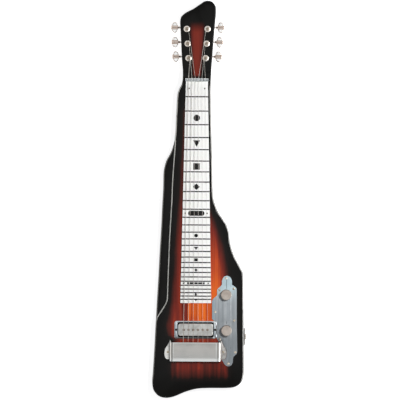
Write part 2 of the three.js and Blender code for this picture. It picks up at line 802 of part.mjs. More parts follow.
// One screw: its head's underside is at zero
function screwGeometry(length) {
  return turned([
    [0, -length], [screwRadius, -length + 2 * screwRadius], [screwRadius, 0], [screwHeadRadius, 0],
    [screwHeadRadius, screwHeadHeight / 2], [0, screwHeadHeight],
  ], screwSides);
}

function placeScrew(name, [x, y], seat, length) {
  piece(name, screwGeometry(length), chrome).position.set(x, y, seat + fit);
}

const coverSeat = face + fit + coverThickness;
placeScrew("bridge_cover_screw_bass", coverScrewPlaces[0], coverSeat, coverSeat - face + screwLength);
placeScrew("bridge_cover_screw_treble", coverScrewPlaces[1], coverSeat, coverSeat - face + screwLength);

// Pickup: ring, cover, coil on its base plate, and pole pieces on their keeper
const pocketFloor = face - pickupDepth;
const baseTop = pocketFloor + fit + basePlate;
const pickupTop = stringSeat - pickupDrop;
const ringTop = face + fit + ringHeight;
const atPickup = (points) => shapeOf(shifted(points, 0, pickupPlace));

function ringGeometry() {
  const shape = atPickup(roundedRectangle(ringLength, ringWidth, ringCorner));
  shape.holes.push(atPickup(roundedRectangle(windowLength, windowWidth, windowCorner)));
  const holes = ringScrewPlaces.map(([x, y]) => drill(x, y, screwRadius + fit, face, ringTop + overrun, screwSides));
  return carve(prism(shape, face + fit, ringTop), holes);
}

const poleHoles = (radius, bottom, top) => stringDiameters.map((_, string) =>
  drill(stringX(string, poleSpacing), pickupPlace, radius, bottom, top, screwSides));

function pickupCoverGeometry() {
  const outer = roundedRectangle(pickupLength, pickupWidth, pickupCorner);
  const inner = roundedRectangle(pickupLength - 2 * pickupWall, pickupWidth - 2 * pickupWall,
    pickupCorner - pickupWall);
  const hollow = prism(atPickup(inner), baseTop - overrun, pickupTop - pickupWall);
  return carve(prism(atPickup(outer), baseTop + fit, pickupTop),
    [hollow, ...poleHoles(poleRadius + fit, pickupTop - overrun, pickupTop + overrun)]);
}

function coilGeometry() {
  const plateHalf = ringLength / 2 - pocketMargin - 2 * fit;
  const plate = prism(atPickup(roundedRectangle(2 * plateHalf, pickupWidth, pickupCorner)),
    pocketFloor + fit, baseTop);
  const inset = 2 * (pickupWall + coilMargin);
  const coil = roundedRectangle(pickupLength - inset, pickupWidth - inset, (pickupWidth - inset) / 2 - fit);
  const coilShape = atPickup(coil);
  const slotLength = 5 * poleSpacing + 2 * coilSlot;
  coilShape.holes.push(atPickup(roundedRectangle(slotLength, 2 * coilSlot, coilSlot / 3, 1)));
  const winding = prism(coilShape, baseTop - fit, pickupTop - pickupWall - fit);
  const holes = ringScrewPlaces.map(([x, y]) =>
    drill(x, y, screwRadius + fit, pocketFloor, baseTop + overrun, screwSides));
  return carve(plate, holes, [winding]);
}

function poleGeometry() {
  const half = 2.5 * poleSpacing + poleRadius;
  const wide = coilSlot - 2 * fit;
  const bottom = baseTop + fit;
  const keeper = block(-half, half, pickupPlace - wide, pickupPlace + wide, bottom, bottom + keeperHeight);
  return carve(keeper, [], poleHoles(poleRadius, bottom + keeperHeight / 2, pickupTop + poleProud));
}

piece("pickup_ring", ringGeometry(), chrome);
piece("pickup_cover", pickupCoverGeometry(), finish(0xc4c3bd, 0.3, 1));
piece("pickup_coil", coilGeometry(), finish(0x2a2320, 0.6, 0));
piece("pickup_poles", poleGeometry(), finish(0xa9a49b, 0.35, 1));
placeScrew("pickup_screw_bass", ringScrewPlaces[0], ringTop, ringTop - pocketFloor + screwLength);
placeScrew("pickup_screw_treble", ringScrewPlaces[1], ringTop, ringTop - pocketFloor + screwLength);

// Control plate, cut round the pickup ring and the bridge cover's ear
const steel = finish(0x9aa2a8, 0.35, 1);
const plateOutlineShares = [
  [0.382, 0.9], [0.382, 0.9435], [0.42, 0.975], [0.5, 0.995], [0.579, 1], [0.658, 0.995], [0.738, 0.975],
  [0.776, 0.944], [0.778, 0.9], [0.912, 0.877], [0.955, 0.86], [0.967, 0.842], [0.976, 0.486],
  [1, 0.1695], [0.989, 0.141], [0.9266, 0.124], [0.851, 0.106], [0.831, 0.0776], [0.827, 0.045],
  [0.78, 0.014], [0.7, 0.001], [0.6, 0.001], [0.52, 0.014], [0.462, 0.0416], [0.4055, 0.066],
  [0.28, 0.1], [0.28, 0.267], [0.21, 0.3], [0.16, 0.32], [0.16, 0.482], [0.005, 0.52], [0, 0.71],
  [0.033, plateShoulderShare], [0.12, 0.764], [0.2, 0.781], [0.191, 0.817], [0.195, 0.841], [0.233, 0.859],
  [0.319, 0.88],
];

function controlPlateGeometry() {
  const [bottom, top] = [face + fit, plateTop];
  const sheet = prism(shapeOf(plateOutlineShares.map(onPlate)), bottom, top);
  const ringRoom = roundedRectangle(ringLength + 2 * fit, ringWidth + 2 * fit, ringCorner + fit);
  const [low, high] = [bottom - overrun, top + overrun];
  const cutters = [
    prism(atPickup(ringRoom), low, high),
    prism(shapeOf(coverPlan(2 * fit)), low, high),
    ...plateScrewPlaces.map(([x, y]) => drill(x, y, screwRadius + fit, low, high, screwSides)),
    ...potPlaces.map(([x, y]) => drill(x, y, potBushingRadius + fit, low, high)),
  ];
  return carve(sheet, cutters);
}

piece("control_plate", controlPlateGeometry(), steel);
plateScrewPlaces.forEach((place, i) => {
  placeScrew(`control_plate_screw_${i + 1}`, place, plateTop, plateTop - face + screwLength);
});

// Potentiometers under the plate, each with its bushing and nut, and a knob on its shaft
function potGeometry() {
  const [canTop, nutFoot] = [0, plateTop - face + fit];
  const bushingTop = nutFoot + potBushingProud;
  const bore = shaftRadius + fit;
  const boreFloor = canTop - shaftDepth + fit;
  return turned([
    [0, canTop - potDepth], [potRadius, canTop - potDepth], [potRadius, canTop], [potBushingRadius, canTop],
    [potBushingRadius, nutFoot], [potNutRadius, nutFoot], [potNutRadius, nutFoot + potNutHeight],
    [potBushingRadius, nutFoot + potNutHeight], [potBushingRadius, bushingTop], [bore, bushingTop],
    [bore, boreFloor], [0, boreFloor],
  ]);
}

function knobGeometry() {
  const skirt = plateTop - face + knobGap;
  const ceiling = plateTop - face + fit + potBushingProud + 2 * fit;
  const top = skirt + knobHeight;
  const tip = -shaftDepth + 2 * fit;
  const hollow = knobRadius - knobWall;
  return turned([
    [0, tip], [shaftRadius, tip], [shaftRadius, ceiling], [hollow, ceiling], [hollow, skirt],
    [knobRadius, skirt], [knobRadius, top - knobChamfer], [knobRadius - knobChamfer, top], [0, top],
  ], knobSides);
}

const nickel = finish(0xc9c0b4, 0.3, 1);
["volume", "tone"].forEach((use, i) => {
  const control = new THREE.Group();
  control.position.set(potPlaces[i][0], potPlaces[i][1], face);
  guitar.add(control);
  piece(`${use}_pot`, potGeometry(), steel, control);
  piece(`${use}_knob`, knobGeometry(), nickel, control);
});

// Output jack in the treble side, with its plate and nut
const jack = new THREE.Group();
jack.position.set(jackFace() + fit, jackPlace, jackHeight);
guitar.add(jack);

function jackPlateGeometry() {
  const points = [];
  for (let i = 0; i < 2 * jackSides; i += 1) {
    const angle = (Math.PI * i) / jackSides;
    points.push([(jackPlateWidth / 2) * Math.cos(angle), (jackPlateLength / 2) * Math.sin(angle)]);
  }
  const plate = roundedPrism(points, 0, jackPlateThickness, jackPlateThickness / 4, 1);
  return alongX(carve(plate, [drill(0, 0, jackSleeveRadius + fit, -overrun, jackPlateThickness + overrun, jackSides)]));
}

function jackBodyGeometry() {
  const sleeveEnd = jackPlateThickness + fit + jackNutHeight + fit;
  return alongX(turned([
    [jackBoreRadius, -jackBodyLength], [jackBodyRadius, -jackBodyLength], [jackBodyRadius, -fit],
    [jackSleeveRadius, -fit], [jackSleeveRadius, sleeveEnd], [jackBoreRadius, sleeveEnd],
    [jackBoreRadius, -jackBodyLength],
  ], jackSides));
}

function jackNutGeometry() {
  const [low, high] = [jackPlateThickness + fit, jackPlateThickness + fit + jackNutHeight];
  const inner = jackSleeveRadius + fit;
  return alongX(turned([[inner, low], [jackNutRadius, low], [jackNutRadius, high], [inner, high], [inner, low]],
    jackSides));
}

piece("output_jack", jackBodyGeometry(), chrome, jack);
piece("jack_plate", jackPlateGeometry(), chrome, jack);
piece("jack_nut", jackNutGeometry(), chrome, jack);

// Tuner parts. Each tuner's group stands on its post's axis at the headstock's back.
const wormHeight = -wormDrop;
const wheelTip = gearDistance - wormCore - fit;
const wheelRoot = gearDistance - wormCore - threadHeight - fit;
const wheelRolling = (threadPitch * wheelTeeth) / (2 * Math.PI);
const housingSide = gearDistance + wormCore + threadHeight + fit + housingWall;
const wormBore = wormCore + threadHeight + wheelClearance;

function wheelGeometry() {
  const points = [];
  const tooth = [[wheelRoot, -toothRoot], [wheelTip, -toothTip], [wheelTip, toothTip], [wheelRoot, toothRoot]];
  for (let i = 0; i < wheelTeeth; i += 1) {
    // a tooth gap, not a tooth, faces the worm's thread
    const centre = Math.PI / 2 + (2 * Math.PI * (i + 0.5)) / wheelTeeth;
    for (const [radius, width] of tooth) {
      const angle = centre + width / 2 / radius;
      points.push([radius * Math.cos(angle), radius * Math.sin(angle)]);
    }
  }
  const gear = prism(shapeOf(points), wormHeight - wheelFace / 2, wormHeight + wheelFace / 2);
  // the teeth lean with the thread's lead
  const lean = threadPitch / (2 * Math.PI * (gearDistance - wheelRolling)) / wheelRolling;
  const place = gear.attributes.position;
  for (let i = 0; i < place.count; i += 1) {
    const point = new THREE.Vector3().fromBufferAttribute(place, i);
    point.applyAxisAngle(new THREE.Vector3(0, 0, 1), lean * (point.z - wormHeight));
    place.setXYZ(i, point.x, point.y, point.z);
  }
  return gear;
}

function postGeometry() {
  const local = (height) => height - headBack;
  const bottom = -housingHeight + housingWall + fit;
  const top = local(waistTop) + capHeight;
  const journal = wormHeight + wheelFace / 2 + 2 * fit;
  const shaft = turned([
    [0, bottom], [wheelRoot - fit, bottom], [wheelRoot - fit, journal], [postRadius, journal],
    [postRadius, local(waistBottom)], [waistRadius, local(waistBottom) + fit],
    [waistRadius, local(waistTop) - fit], [postRadius, local(waistTop)],
    [postRadius, top - fit], [postRadius - 2 * fit, top], [0, top],
  ], 8);
  const hole = at(alongX(drill(0, 0, stringHoleRadius, -postRadius - overrun, postRadius + overrun, 6)),
    0, 0, local(waistTop) - 2 * stringHoleRadius);
  return carve(shaft, [hole], [wheelGeometry()]);
}

function bushingGeometry() {
  const low = headFace - headBack - bushingDepth;
  const seat = headFace - headBack + fit;
  const top = seat + flangeHeight;
  const bore = postRadius + fit;
  return turned([
    [bore, low], [bushingRadius, low], [bushingRadius, seat], [flangeRadius, seat],
    [flangeRadius, top - flangeHeight / 2], [bushingRadius, top], [bore, top], [bore, low],
  ]);
}

function housingGeometry(side) {
  const [inner, outer] = [-side * housingInner, side * housingOuter];
  const [x0, x1] = [Math.min(inner, outer), Math.max(inner, outer)];
  const plan = shifted(roundedRectangle(x1 - x0, housingTail + housingSide, housingRound, 1),
    (x0 + x1) / 2, (housingSide - housingTail) / 2);
  const shell = roundedPrism(plan, -housingHeight, -fit, housingRound, 1);
  const pocket = drill(0, 0, wheelTip + wheelClearance, -housingHeight + housingWall, overrun);
  const boreStart = -wormLength / 2 - 2 * fit;
  const bore = alongX(drill(0, 0, wormBore, boreStart, housingOuter + overrun), side);
  return carve(shell, [pocket, at(bore, 0, gearDistance, wormHeight)]);
}

// The worm's thread: one ridge that climbs a right handed helix along +X
function threadGeometry() {
  const rings = [];
  const turns = wormLength / threadPitch - 0.5;
  const steps = Math.ceil(turns * wormSteps);
  for (let i = 0; i <= steps; i += 1) {
    const angle = (2 * Math.PI * (i - steps / 2)) / wormSteps;
    const x = (threadPitch * angle) / (2 * Math.PI);
    const spoke = new THREE.Vector3(0, -Math.cos(angle), -Math.sin(angle));
    const corner = (radius, width) => spoke.clone().multiplyScalar(radius).setX(x + width);
    const [foot, tip] = [wormCore - fit, wormCore + threadHeight];
    rings.push([
      corner(foot, -threadRoot / 2), corner(tip, -threadTip / 2),
      corner(tip, threadTip / 2), corner(foot, threadRoot / 2),
    ]);
  }
  return loft(rings, false);
}

function buttonGeometry(side, reach) {
  const shaft = alongX(turned([
    [0, -wormLength / 2], [wormCore, -wormLength / 2], [wormCore, wormLength / 2 + fit],
    [collarRadius, wormLength / 2 + fit], [collarRadius, reach - ferruleLength],
    [ferruleRadius, reach - ferruleLength], [ferruleRadius, reach], [hubRadius, reach + fit],
    [hubRadius, reach + buttonWidth - fit], [hubRadius - hubProud, reach + buttonWidth + hubProud],
    [0, reach + buttonWidth + hubProud],
  ], 8), side);
  const oval = [];
  for (let i = 0; i < buttonSteps; i += 1) {
    const angle = (2 * Math.PI * i) / buttonSteps;
    oval.push([(buttonWidth / 2) * Math.cos(angle), (buttonLength / 2) * Math.sin(angle)]);
  }
  const wing = roundedPrism(oval, -buttonThickness / 2, buttonThickness / 2, buttonRound, 1);
  at(wing, side * (reach + buttonWidth / 2), 0, 0);
  return carve(shaft, [], [threadGeometry(), wing]);
}

let tuner = 0;
for (const side of sides) {
  for (const row of rows) {
    tuner += 1;
    const [x, y] = postPlace(side, row);
    const stand = new THREE.Group();
    stand.position.set(x, y, headBack);
    guitar.add(stand);
    const shaftPlace = y + gearDistance;
    const edge = edgeAt(side, shaftPlace, shaftPlace);
    const reach = edge + buttonNeck - Math.abs(x);
    piece(`tuner_${tuner}_housing`, housingGeometry(side), chrome, stand);
    piece(`tuner_${tuner}_bushing`, bushingGeometry(), chrome, stand);
    piece(`tuner_${tuner}_post`, postGeometry(), chrome, stand);
    piece(`tuner_${tuner}_button`, buttonGeometry(side, reach), nickel, stand)
      .position.set(0, gearDistance, wormHeight);
  }
}

// Strings: ball end, over the saddle and the nut, and wound on the post
// Bass strings go to the bass side's posts, the outer ones to the posts nearest the nut.
const postOfString = [[-1, 0], [-1, 1], [-1, 2], [1, 2], [1, 1], [1, 0]];

function leastLoopGap(loops, diameter) {
  let least = Infinity;
  loops.forEach((point, i) => {
    for (let j = i + Math.ceil(0.75 * windingSteps); j < loops.length; j += 1) {
      least = Math.min(least, point.distanceTo(loops[j]) - diameter);
    }
  });
  return least;
}

function stringPath(string) {
  const diameter = stringDiameters[string];
  const [side, row] = postOfString[string];
  const [postX, postY] = postPlace(side, row);
  const height = stringSeat + fit + diameter / 2;
  const bridgeX = stringX(string, bridgeSpacing);
  const nutX = stringX(string, nutSpacing);
  const nutBack = new THREE.Vector3(nutX, scaleLength + nutDepth, height);
  const radius = waistRadius + fit + diameter / 2;
  const pitch = diameter + windingGap;
  const start = waistBottom + (waistLength - windingTurns[string] * pitch) / 3;
  const [dx, dy] = [postX - nutBack.x, postY - nutBack.y];
  const heading = Math.atan2(dy, dx) + side * Math.asin(radius / Math.hypot(dx, dy));
  const first = heading + (side * Math.PI) / 2;
  const loops = [];
  const steps = Math.round(windingTurns[string] * windingSteps);
  for (let i = 0; i <= steps; i += 1) {
    const turn = i / windingSteps;
    const angle = first - side * turn * 2 * Math.PI;
    loops.push(new THREE.Vector3(
      postX + radius * Math.cos(angle), postY + radius * Math.sin(angle), start + turn * pitch));
  }
  const last = loops[loops.length - 1];
  const leaving = last.clone().sub(loops[loops.length - 2]).setLength(diameter);
  const ballHeight = stringSeat - slotDepth / 2;
  const ball = (share) => new THREE.Vector3(bridgeX, ballPlace + share * ballRadius, ballHeight);
  const thin = diameter / 2;
  const path = [
    [ball(-1), thin], [ball(-0.7), 0.7 * ballRadius], [ball(0), ballRadius], [ball(0.7), 0.7 * ballRadius],
    [ball(1), thin], [ball(1).setY(-anchorBack + bridgePlateThickness), thin],
    [new THREE.Vector3(bridgeX, 0, height), thin],
    [new THREE.Vector3(nutX, scaleLength, height), thin], [nutBack, thin],
    ...loops.map((point) => [point, thin]), [last.clone().add(leaving), thin],
  ];
  return { path, gap: leastLoopGap(loops, diameter) };
}

stringDiameters.forEach((diameter, string) => {
  const { path, gap } = stringPath(string);
  console.log(`string ${string + 1}: least gap between loops ${gap.toFixed(2)} mm`);
  const geometry = carve(tube(path.map(([point]) => point), path.map(([, radius]) => radius), stringSides));
  piece(`string_${string + 1}`, geometry, finish(0xc8c6c0, 0.3, 1));
});

export default guitar;
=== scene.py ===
# %% [markdown]
# # A six string lap steel guitar
# The guitar lies on its flat back and is seen from straight above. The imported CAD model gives
# every place and size; this script gives each part its fine shape and its finish. Objects are in
# metres, while the sizes written here are in millimetres. +Y runs from the bridge to the
# headstock, +X to the treble side and +Z up from the back.

# %% Load the fixed frame
import math
from contextlib import contextmanager

import bmesh
import bpy
from mathutils import Matrix, Vector


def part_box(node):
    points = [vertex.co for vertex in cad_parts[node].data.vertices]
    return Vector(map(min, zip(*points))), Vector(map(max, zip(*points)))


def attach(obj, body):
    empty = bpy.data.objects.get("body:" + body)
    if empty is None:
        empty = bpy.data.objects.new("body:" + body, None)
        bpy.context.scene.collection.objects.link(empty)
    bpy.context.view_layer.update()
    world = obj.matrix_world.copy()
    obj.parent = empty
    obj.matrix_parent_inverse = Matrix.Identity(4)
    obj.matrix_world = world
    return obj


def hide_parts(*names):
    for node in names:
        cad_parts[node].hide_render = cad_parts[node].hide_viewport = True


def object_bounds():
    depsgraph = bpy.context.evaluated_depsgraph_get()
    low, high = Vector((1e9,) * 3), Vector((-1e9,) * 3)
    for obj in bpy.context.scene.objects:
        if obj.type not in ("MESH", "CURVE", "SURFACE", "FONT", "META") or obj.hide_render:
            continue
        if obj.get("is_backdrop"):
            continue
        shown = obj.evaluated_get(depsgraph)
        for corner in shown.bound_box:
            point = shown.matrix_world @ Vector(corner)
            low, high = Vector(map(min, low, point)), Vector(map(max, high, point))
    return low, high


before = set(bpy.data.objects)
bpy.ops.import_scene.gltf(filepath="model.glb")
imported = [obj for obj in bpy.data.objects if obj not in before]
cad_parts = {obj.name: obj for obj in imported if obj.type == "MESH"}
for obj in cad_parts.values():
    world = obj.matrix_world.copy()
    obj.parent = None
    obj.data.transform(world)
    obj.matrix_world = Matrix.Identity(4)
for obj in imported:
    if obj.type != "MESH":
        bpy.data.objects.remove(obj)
cad_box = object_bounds()
MM = 0.001
cad_length = (cad_box[1].y - cad_box[0].y) / MM
print("solids in the frame:", len(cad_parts), "length in mm:", round(cad_length, 1))

# %% [markdown]
# ## Sizes
# These are the sizes of the real instrument in millimetres. The CAD model uses the same ones,
# so a fine shape made from them lies exactly where its plain solid lies.

# %% Sizes of the wood
scale_length = 584.2
tail_length = 97
head_length = 174.8
bass_reach = 92.9
treble_reach = 104.4
head_reach = 40.3
face = 44
ledge_drop = 12
edge_round = 3.5
head_face_drop = 9.5
head_thickness = 15
fit = 0.3
head_face = face - head_face_drop
head_back = head_face - head_thickness
print("headstock between", head_back, "and", head_face, "mm above the back")

# %% Sizes of the fingerboard and the strings
board_nut_half = 23.65
board_end_half = 33.2
board_thickness = 3
neck_margin = 6.5
fret_count = 28
board_tail_gap = 8.2
string_diameters = [1.2, 1.0, 0.8, 0.62, 0.48, 0.4]
string_count = len(string_diameters)
string_height = 10.4
nut_spacing = 7.2
bridge_spacing = 10.7
string_seat = face + string_height
board_top = face + fit + board_thickness


def fret_place(fret):
    return scale_length * 2 ** (-fret / 12)


board_end = fret_place(fret_count) - board_tail_gap
print("fingerboard ends", round(board_end, 1), "mm from the saddle")

# %% [markdown]
# ## Helpers for meshes
# Most pieces are either rings of points joined into a skin or outlines raised into slabs.
# Both give clean, closed meshes with round edges that catch the light as the real ones do.


# %% Objects, and meshes from points in millimetres
def add_object(name, data):
    made = bpy.data.objects.new(name, data)
    bpy.context.scene.collection.objects.link(made)
    return made


def mesh_object(name, points, faces):
    mesh = bpy.data.meshes.new(name)
    mesh.from_pydata([Vector(p) * MM for p in points], [], faces)
    mesh.validate()
    return add_object(name, mesh)


@contextmanager
def opened(made):
    """The piece's mesh as a bmesh to work on, written back at the end."""
    work = bmesh.new()
    work.from_mesh(made.data)
    yield work
    work.to_mesh(made.data)
    work.free()


same_point = 0.001 * MM


def turn_faces_out(made):
    with opened(made) as work:
        bmesh.ops.remove_doubles(work, verts=work.verts, dist=same_point)
        bmesh.ops.recalc_face_normals(work, faces=work.faces)
    return made


print("points nearer than", round(same_point / MM, 4), "mm count as one")


# %% Rings of points joined into one closed skin
def loft(name, rings, capped=True):
    """Without caps, the last ring joins the first one."""
    points = [p for ring in rings for p in ring]
    sides = len(rings[0])
    faces = []
    for i in range(len(rings) - 1 if capped else len(rings)):
        low = i * sides
        high = ((i + 1) % len(rings)) * sides
        for k in range(sides):
            n = (k + 1) % sides
            faces.append((low + k, low + n, high + n, high + k))
    if capped:
        faces.append(tuple(range(sides))[::-1])
        faces.append(tuple(range(len(points) - sides, len(points))))
    return turn_faces_out(mesh_object(name, points, faces))


# %% Turned pieces, from pairs of radius and height
least_radius = 0.002


def spin(count, start=0.0):
    """Angles spread evenly once round."""
    return [start + 2 * math.pi * k / count for k in range(count)]


def turned(name, profile, sides=48, centre=(0, 0, 0), capped=True):
    """Where the profile has a third number, the skin has grooves of that depth."""
    rings = []
    for radius, height, *groove in profile:
        ring = []
        for k, angle in enumerate(spin(sides)):
            reach = max(radius - (groove[0] if groove and k % 4 < 2 else 0), least_radius)
            x = centre[0] + reach * math.cos(angle)
            ring.append((x, centre[1] + reach * math.sin(angle), centre[2] + height))
        rings.append(ring)
    return loft(name, rings, capped)


# %% Rounded corners
most_of_side = 0.45


def bend_points(start, corner, end, steps):
    """A smooth bend from start to end, drawn towards the corner."""
    shares = [step / steps for step in range(steps + 1)]
    return [start * (1 - t) ** 2 + corner * 2 * t * (1 - t) + end * t ** 2 for t in shares]


def softened(profile, radius, steps=3):
    """The same closed profile with its corners rounded."""
    corners = [Vector(p) for p in profile]
    made = []
    for i, corner in enumerate(corners):
        before = corners[i - 1] - corner
        after = corners[(i + 1) % len(corners)] - corner
        reach = min(radius, before.length * most_of_side, after.length * most_of_side)
        start = corner + before.normalized() * reach
        end = corner + after.normalized() * reach
        made += [tuple(p) for p in bend_points(start, corner, end, steps)]
    return made


def tube(name, profile, radius):
    """A turned tube whose section has soft corners."""
    return turned(name, softened(profile, radius), capped=False)


print("a rounded square has", len(softened([(0, 0), (1, 0), (1, 1), (0, 1)], 0.1)), "points")


# %% Outlines moved inwards
def inset_outline(outline, amount):
    """Each point moved inwards by the amount, square to the edge."""
    least_turn = 0.4
    count = len(outline)
    inner = []
    for i, (x, y) in enumerate(outline):
        before = Vector((x, y)) - Vector(outline[i - 1])
        after = Vector(outline[(i + 1) % count]) - Vector((x, y))
        n1 = Vector((-before.y, before.x)).normalized()
        n2 = Vector((-after.y, after.x)).normalized()
        middle = (n1 + n2).normalized()
        reach = amount / max(middle.dot(n1), least_turn)
        inner.append((x + middle.x * reach, y + middle.y * reach))
    return inner


def counter_clockwise(outline):
    area = sum(a[0] * b[1] - b[0] * a[1] for a, b in zip([outline[-1]] + outline[:-1], outline))
    return outline if area > 0 else outline[::-1]


# %% Slabs with rounded edges
def rim(outline, level, radius, steps, up):
    """Rings from the inset end of a rounded edge to the full outline."""
    rings = []
    for i in range(steps + 1 if radius else 1):
        angle = math.pi / 2 * (i / steps if radius else 1)
        inner = inset_outline(outline, radius * (1 - math.sin(angle)))
        rings.append([(x, y, level + up * radius * (1 - math.cos(angle))) for x, y in inner])
    return rings


def slab(name, outline, low, high, top_round=0.0, bottom_round=None, steps=4):
    outline = counter_clockwise(outline)
    bottom_round = top_round if bottom_round is None else bottom_round
    upper = rim(outline, high, top_round, steps, -1)
    return loft(name, rim(outline, low, bottom_round, steps, 1) + upper[::-1])


def rounded_rectangle(length, width, corner, steps=8, centre=(0, 0)):
    points = []
    for quarter in range(4):
        sx = 1 if quarter in (0, 3) else -1
        sy = 1 if quarter < 2 else -1
        for i in range(steps + 1):
            angle = (quarter + i / steps) * math.pi / 2
            points.append((
                centre[0] + sx * (length / 2 - corner) + corner * math.cos(angle),
                centre[1] + sy * (width / 2 - corner) + corner * math.sin(angle),
            ))
    return points


def box(x0, x1, y0, y1, z0, z1):
    corners = [(x0, y0), (x1, y0), (x1, y1), (x0, y1)]
    return loft("box", [[(x, y, z) for x, y in corners] for z in (z0, z1)])


def drill(x, y, radius, low, high, sides=32):
    return turned("drill", [(0, low), (radius, low), (radius, high), (0, high)], sides, (x, y, 0))


# %% Cutting, joining and placing meshes
def settle(made):
    """Turns the modifiers into plain mesh."""
    shaped = made.evaluated_get(bpy.context.evaluated_depsgraph_get())
    mesh = bpy.data.meshes.new_from_object(shaped)
    made.modifiers.clear()
    old = made.data
    made.data = mesh
    mesh.name = made.name
    bpy.data.meshes.remove(old)
    return made


def combine(made, others, how="DIFFERENCE"):
    for other in others:
        step = made.modifiers.new("combine", "BOOLEAN")
        step.operation = how
        step.solver = "EXACT"
        step.object = other
        settle(made)
        bpy.data.objects.remove(other)
    return made


def join(name, pieces):
    """One object that holds the meshes of several."""
    work = bmesh.new()
    for piece in pieces:
        work.from_mesh(piece.data)
    mesh = bpy.data.meshes.new(name)
    work.to_mesh(mesh)
    work.free()
    for piece in pieces:
        bpy.data.objects.remove(piece)
    return add_object(name, mesh)


def moved(made, matrix):
    made.data.transform(matrix)
    return made


def shift(x, y, z):
    """A move by millimetres."""
    return Matrix.Translation(Vector((x, y, z)) * MM)


def along_x(made, side=1):
    """A piece turned about Z lies along X instead."""
    return moved(made, Matrix.Rotation(side * math.pi / 2, 4, "Y"))


# %% Finishing meshes
def soft_edges(made, width, steps=2, angle=30):
    step = made.modifiers.new("soft edges", "BEVEL")
    step.width = width * MM
    step.segments = steps
    step.limit_method = "ANGLE"
    step.angle_limit = math.radians(angle)
    return settle(made)


def shade(made, angle):
    """Smooth across gentle edges, crisp at sharp ones."""
    with opened(made) as work:
        for edge in work.edges:
            sharp = len(edge.link_faces) != 2 or edge.calc_face_angle(0) > math.radians(angle)
            edge.smooth = not sharp
        for polygon in work.faces:
            polygon.smooth = True


def finished(made, body, material, replaces=(), angle=32):
    """Shades a piece, gives it its finish and says what it rides on and stands for."""
    shade(made, angle)
    made.data.materials.clear()
    made.data.materials.append(material)
    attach(made, body)
    if replaces:
        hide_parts(*replaces)
    print(made.name, "has", len(made.data.polygons), "faces and rides on", body)
    return made

# %% [markdown]
# ## Helpers for materials
# A finish is worked out from numbers that change over the surface: how far along, how far
# across, how noisy. Writing that as sums is easier to read than a web of nodes, so a small
# class wraps a socket and every sum adds the Math node that does it.


# %% A socket that takes part in sums
class Wire:
    def __init__(self, sheet, socket):
        self.sheet = sheet
        self.socket = socket

    def maths(self, operation, *values, clamp=False):
        settings = {"operation": operation, "use_clamp": clamp}
        return self.sheet.add("ShaderNodeMath", settings, dict(enumerate(values)))

    def __add__(self, other):
        return self.maths("ADD", self, other)

    def __radd__(self, other):
        return self.maths("ADD", other, self)

    def __sub__(self, other):
        return self.maths("SUBTRACT", self, other)

    def __rsub__(self, other):
        return self.maths("SUBTRACT", other, self)

    def __mul__(self, other):
        return self.maths("MULTIPLY", self, other)

    def __rmul__(self, other):
        return self.maths("MULTIPLY", other, self)

    def __truediv__(self, other):
        return self.maths("DIVIDE", self, other)

    def __rtruediv__(self, other):
        return self.maths("DIVIDE", other, self)

    def __pow__(self, other):
        return self.maths("POWER", self, other)

    def __rpow__(self, other):
        return self.maths("POWER", other, self)

    def __abs__(self):
        return self.maths("ABSOLUTE", self)

    def least(self, other):
        return self.maths("MINIMUM", self, other)

    def most(self, other):
        return self.maths("MAXIMUM", self, other)

    def sine(self):
        return self.maths("SINE", self)

    def held(self):
        """Kept between 0 and 1."""
        return self.maths("ADD", self, 0.0, clamp=True)

    def rise(self, low, high):
        """0 below low, 1 above high and smooth between; low may be the larger."""
        values = {"Value": self, "From Min": low, "From Max": high}
        return self.sheet.add("ShaderNodeMapRange", {"interpolation_type": "SMOOTHSTEP"}, values)


# %% A node tree, for materials and for Geometry Nodes
class Sheet:
    def __init__(self, tree):
        self.tree = tree

    def add(self, kind, settings=None, values=None, out=0):
        """One node: its settings first, then its sockets' values or links."""
        node = self.tree.nodes.new(kind)
        for key, value in (settings or {}).items():
            if key == "stops":
                self.set_stops(node.color_ramp, value)
            else:
                setattr(node, key, value)
        for key, value in (values or {}).items():
            if isinstance(value, Wire):
                self.tree.links.new(value.socket, node.inputs[key])
            else:
                node.inputs[key].default_value = value
        return Wire(self, node.outputs[out]) if node.outputs else node

    def set_stops(self, ramp, stops):
        while len(ramp.elements) > 1:
            ramp.elements.remove(ramp.elements[-1])
        for i, (place, tint) in enumerate(stops):
            stop = ramp.elements[0] if i == 0 else ramp.elements.new(place)
            stop.position = place
            stop.color = (*tint, 1)

    def ramp(self, share, stops):
        return self.add("ShaderNodeValToRGB", {"stops": stops}, {0: share})

    def mix(self, share, first, second):
        first = first if isinstance(first, Wire) else (*first, 1)
        second = second if isinstance(second, Wire) else (*second, 1)
        return self.add("ShaderNodeMix", {"data_type": "RGBA"}, {0: share, 6: first, 7: second}, out=2)

    def outputs(self, kind, *labels):
        """Several outputs of one node."""
        node = self.tree.nodes.new(kind)
        return [Wire(self, node.outputs[label]) for label in labels]

    def split(self, spot):
        """The X, Y and Z of a vector."""
        made = self.outputs("ShaderNodeSeparateXYZ", 0, 1, 2)
        self.tree.links.new(spot.socket, made[0].socket.node.inputs[0])
        return made

    def place(self, scale=(1000, 1000, 1000)):
        """Object coordinates in millimetres, or stretched."""
        spot = self.add("ShaderNodeTexCoord", out="Object")
        return self.add("ShaderNodeVectorMath", {"operation": "MULTIPLY"}, {0: spot, 1: scale})

    def axes(self):
        return self.split(self.place())

    def noise(self, size, stretch=(1, 1, 1), detail=4.0, rough=0.55):
        """Cloudy noise whose lumps are about so many millimetres long."""
        spot = self.place(tuple(1000 * s / size for s in stretch))
        values = {"Vector": spot, "Scale": 1.0, "Detail": detail, "Roughness": rough}
        return self.add("ShaderNodeTexNoise", {"noise_dimensions": "3D"}, values)

    def bump(self, height, strength, distance=0.1):
        values = {"Height": height, "Strength": strength, "Distance": distance * MM}
        return self.add("ShaderNodeBump", None, values)


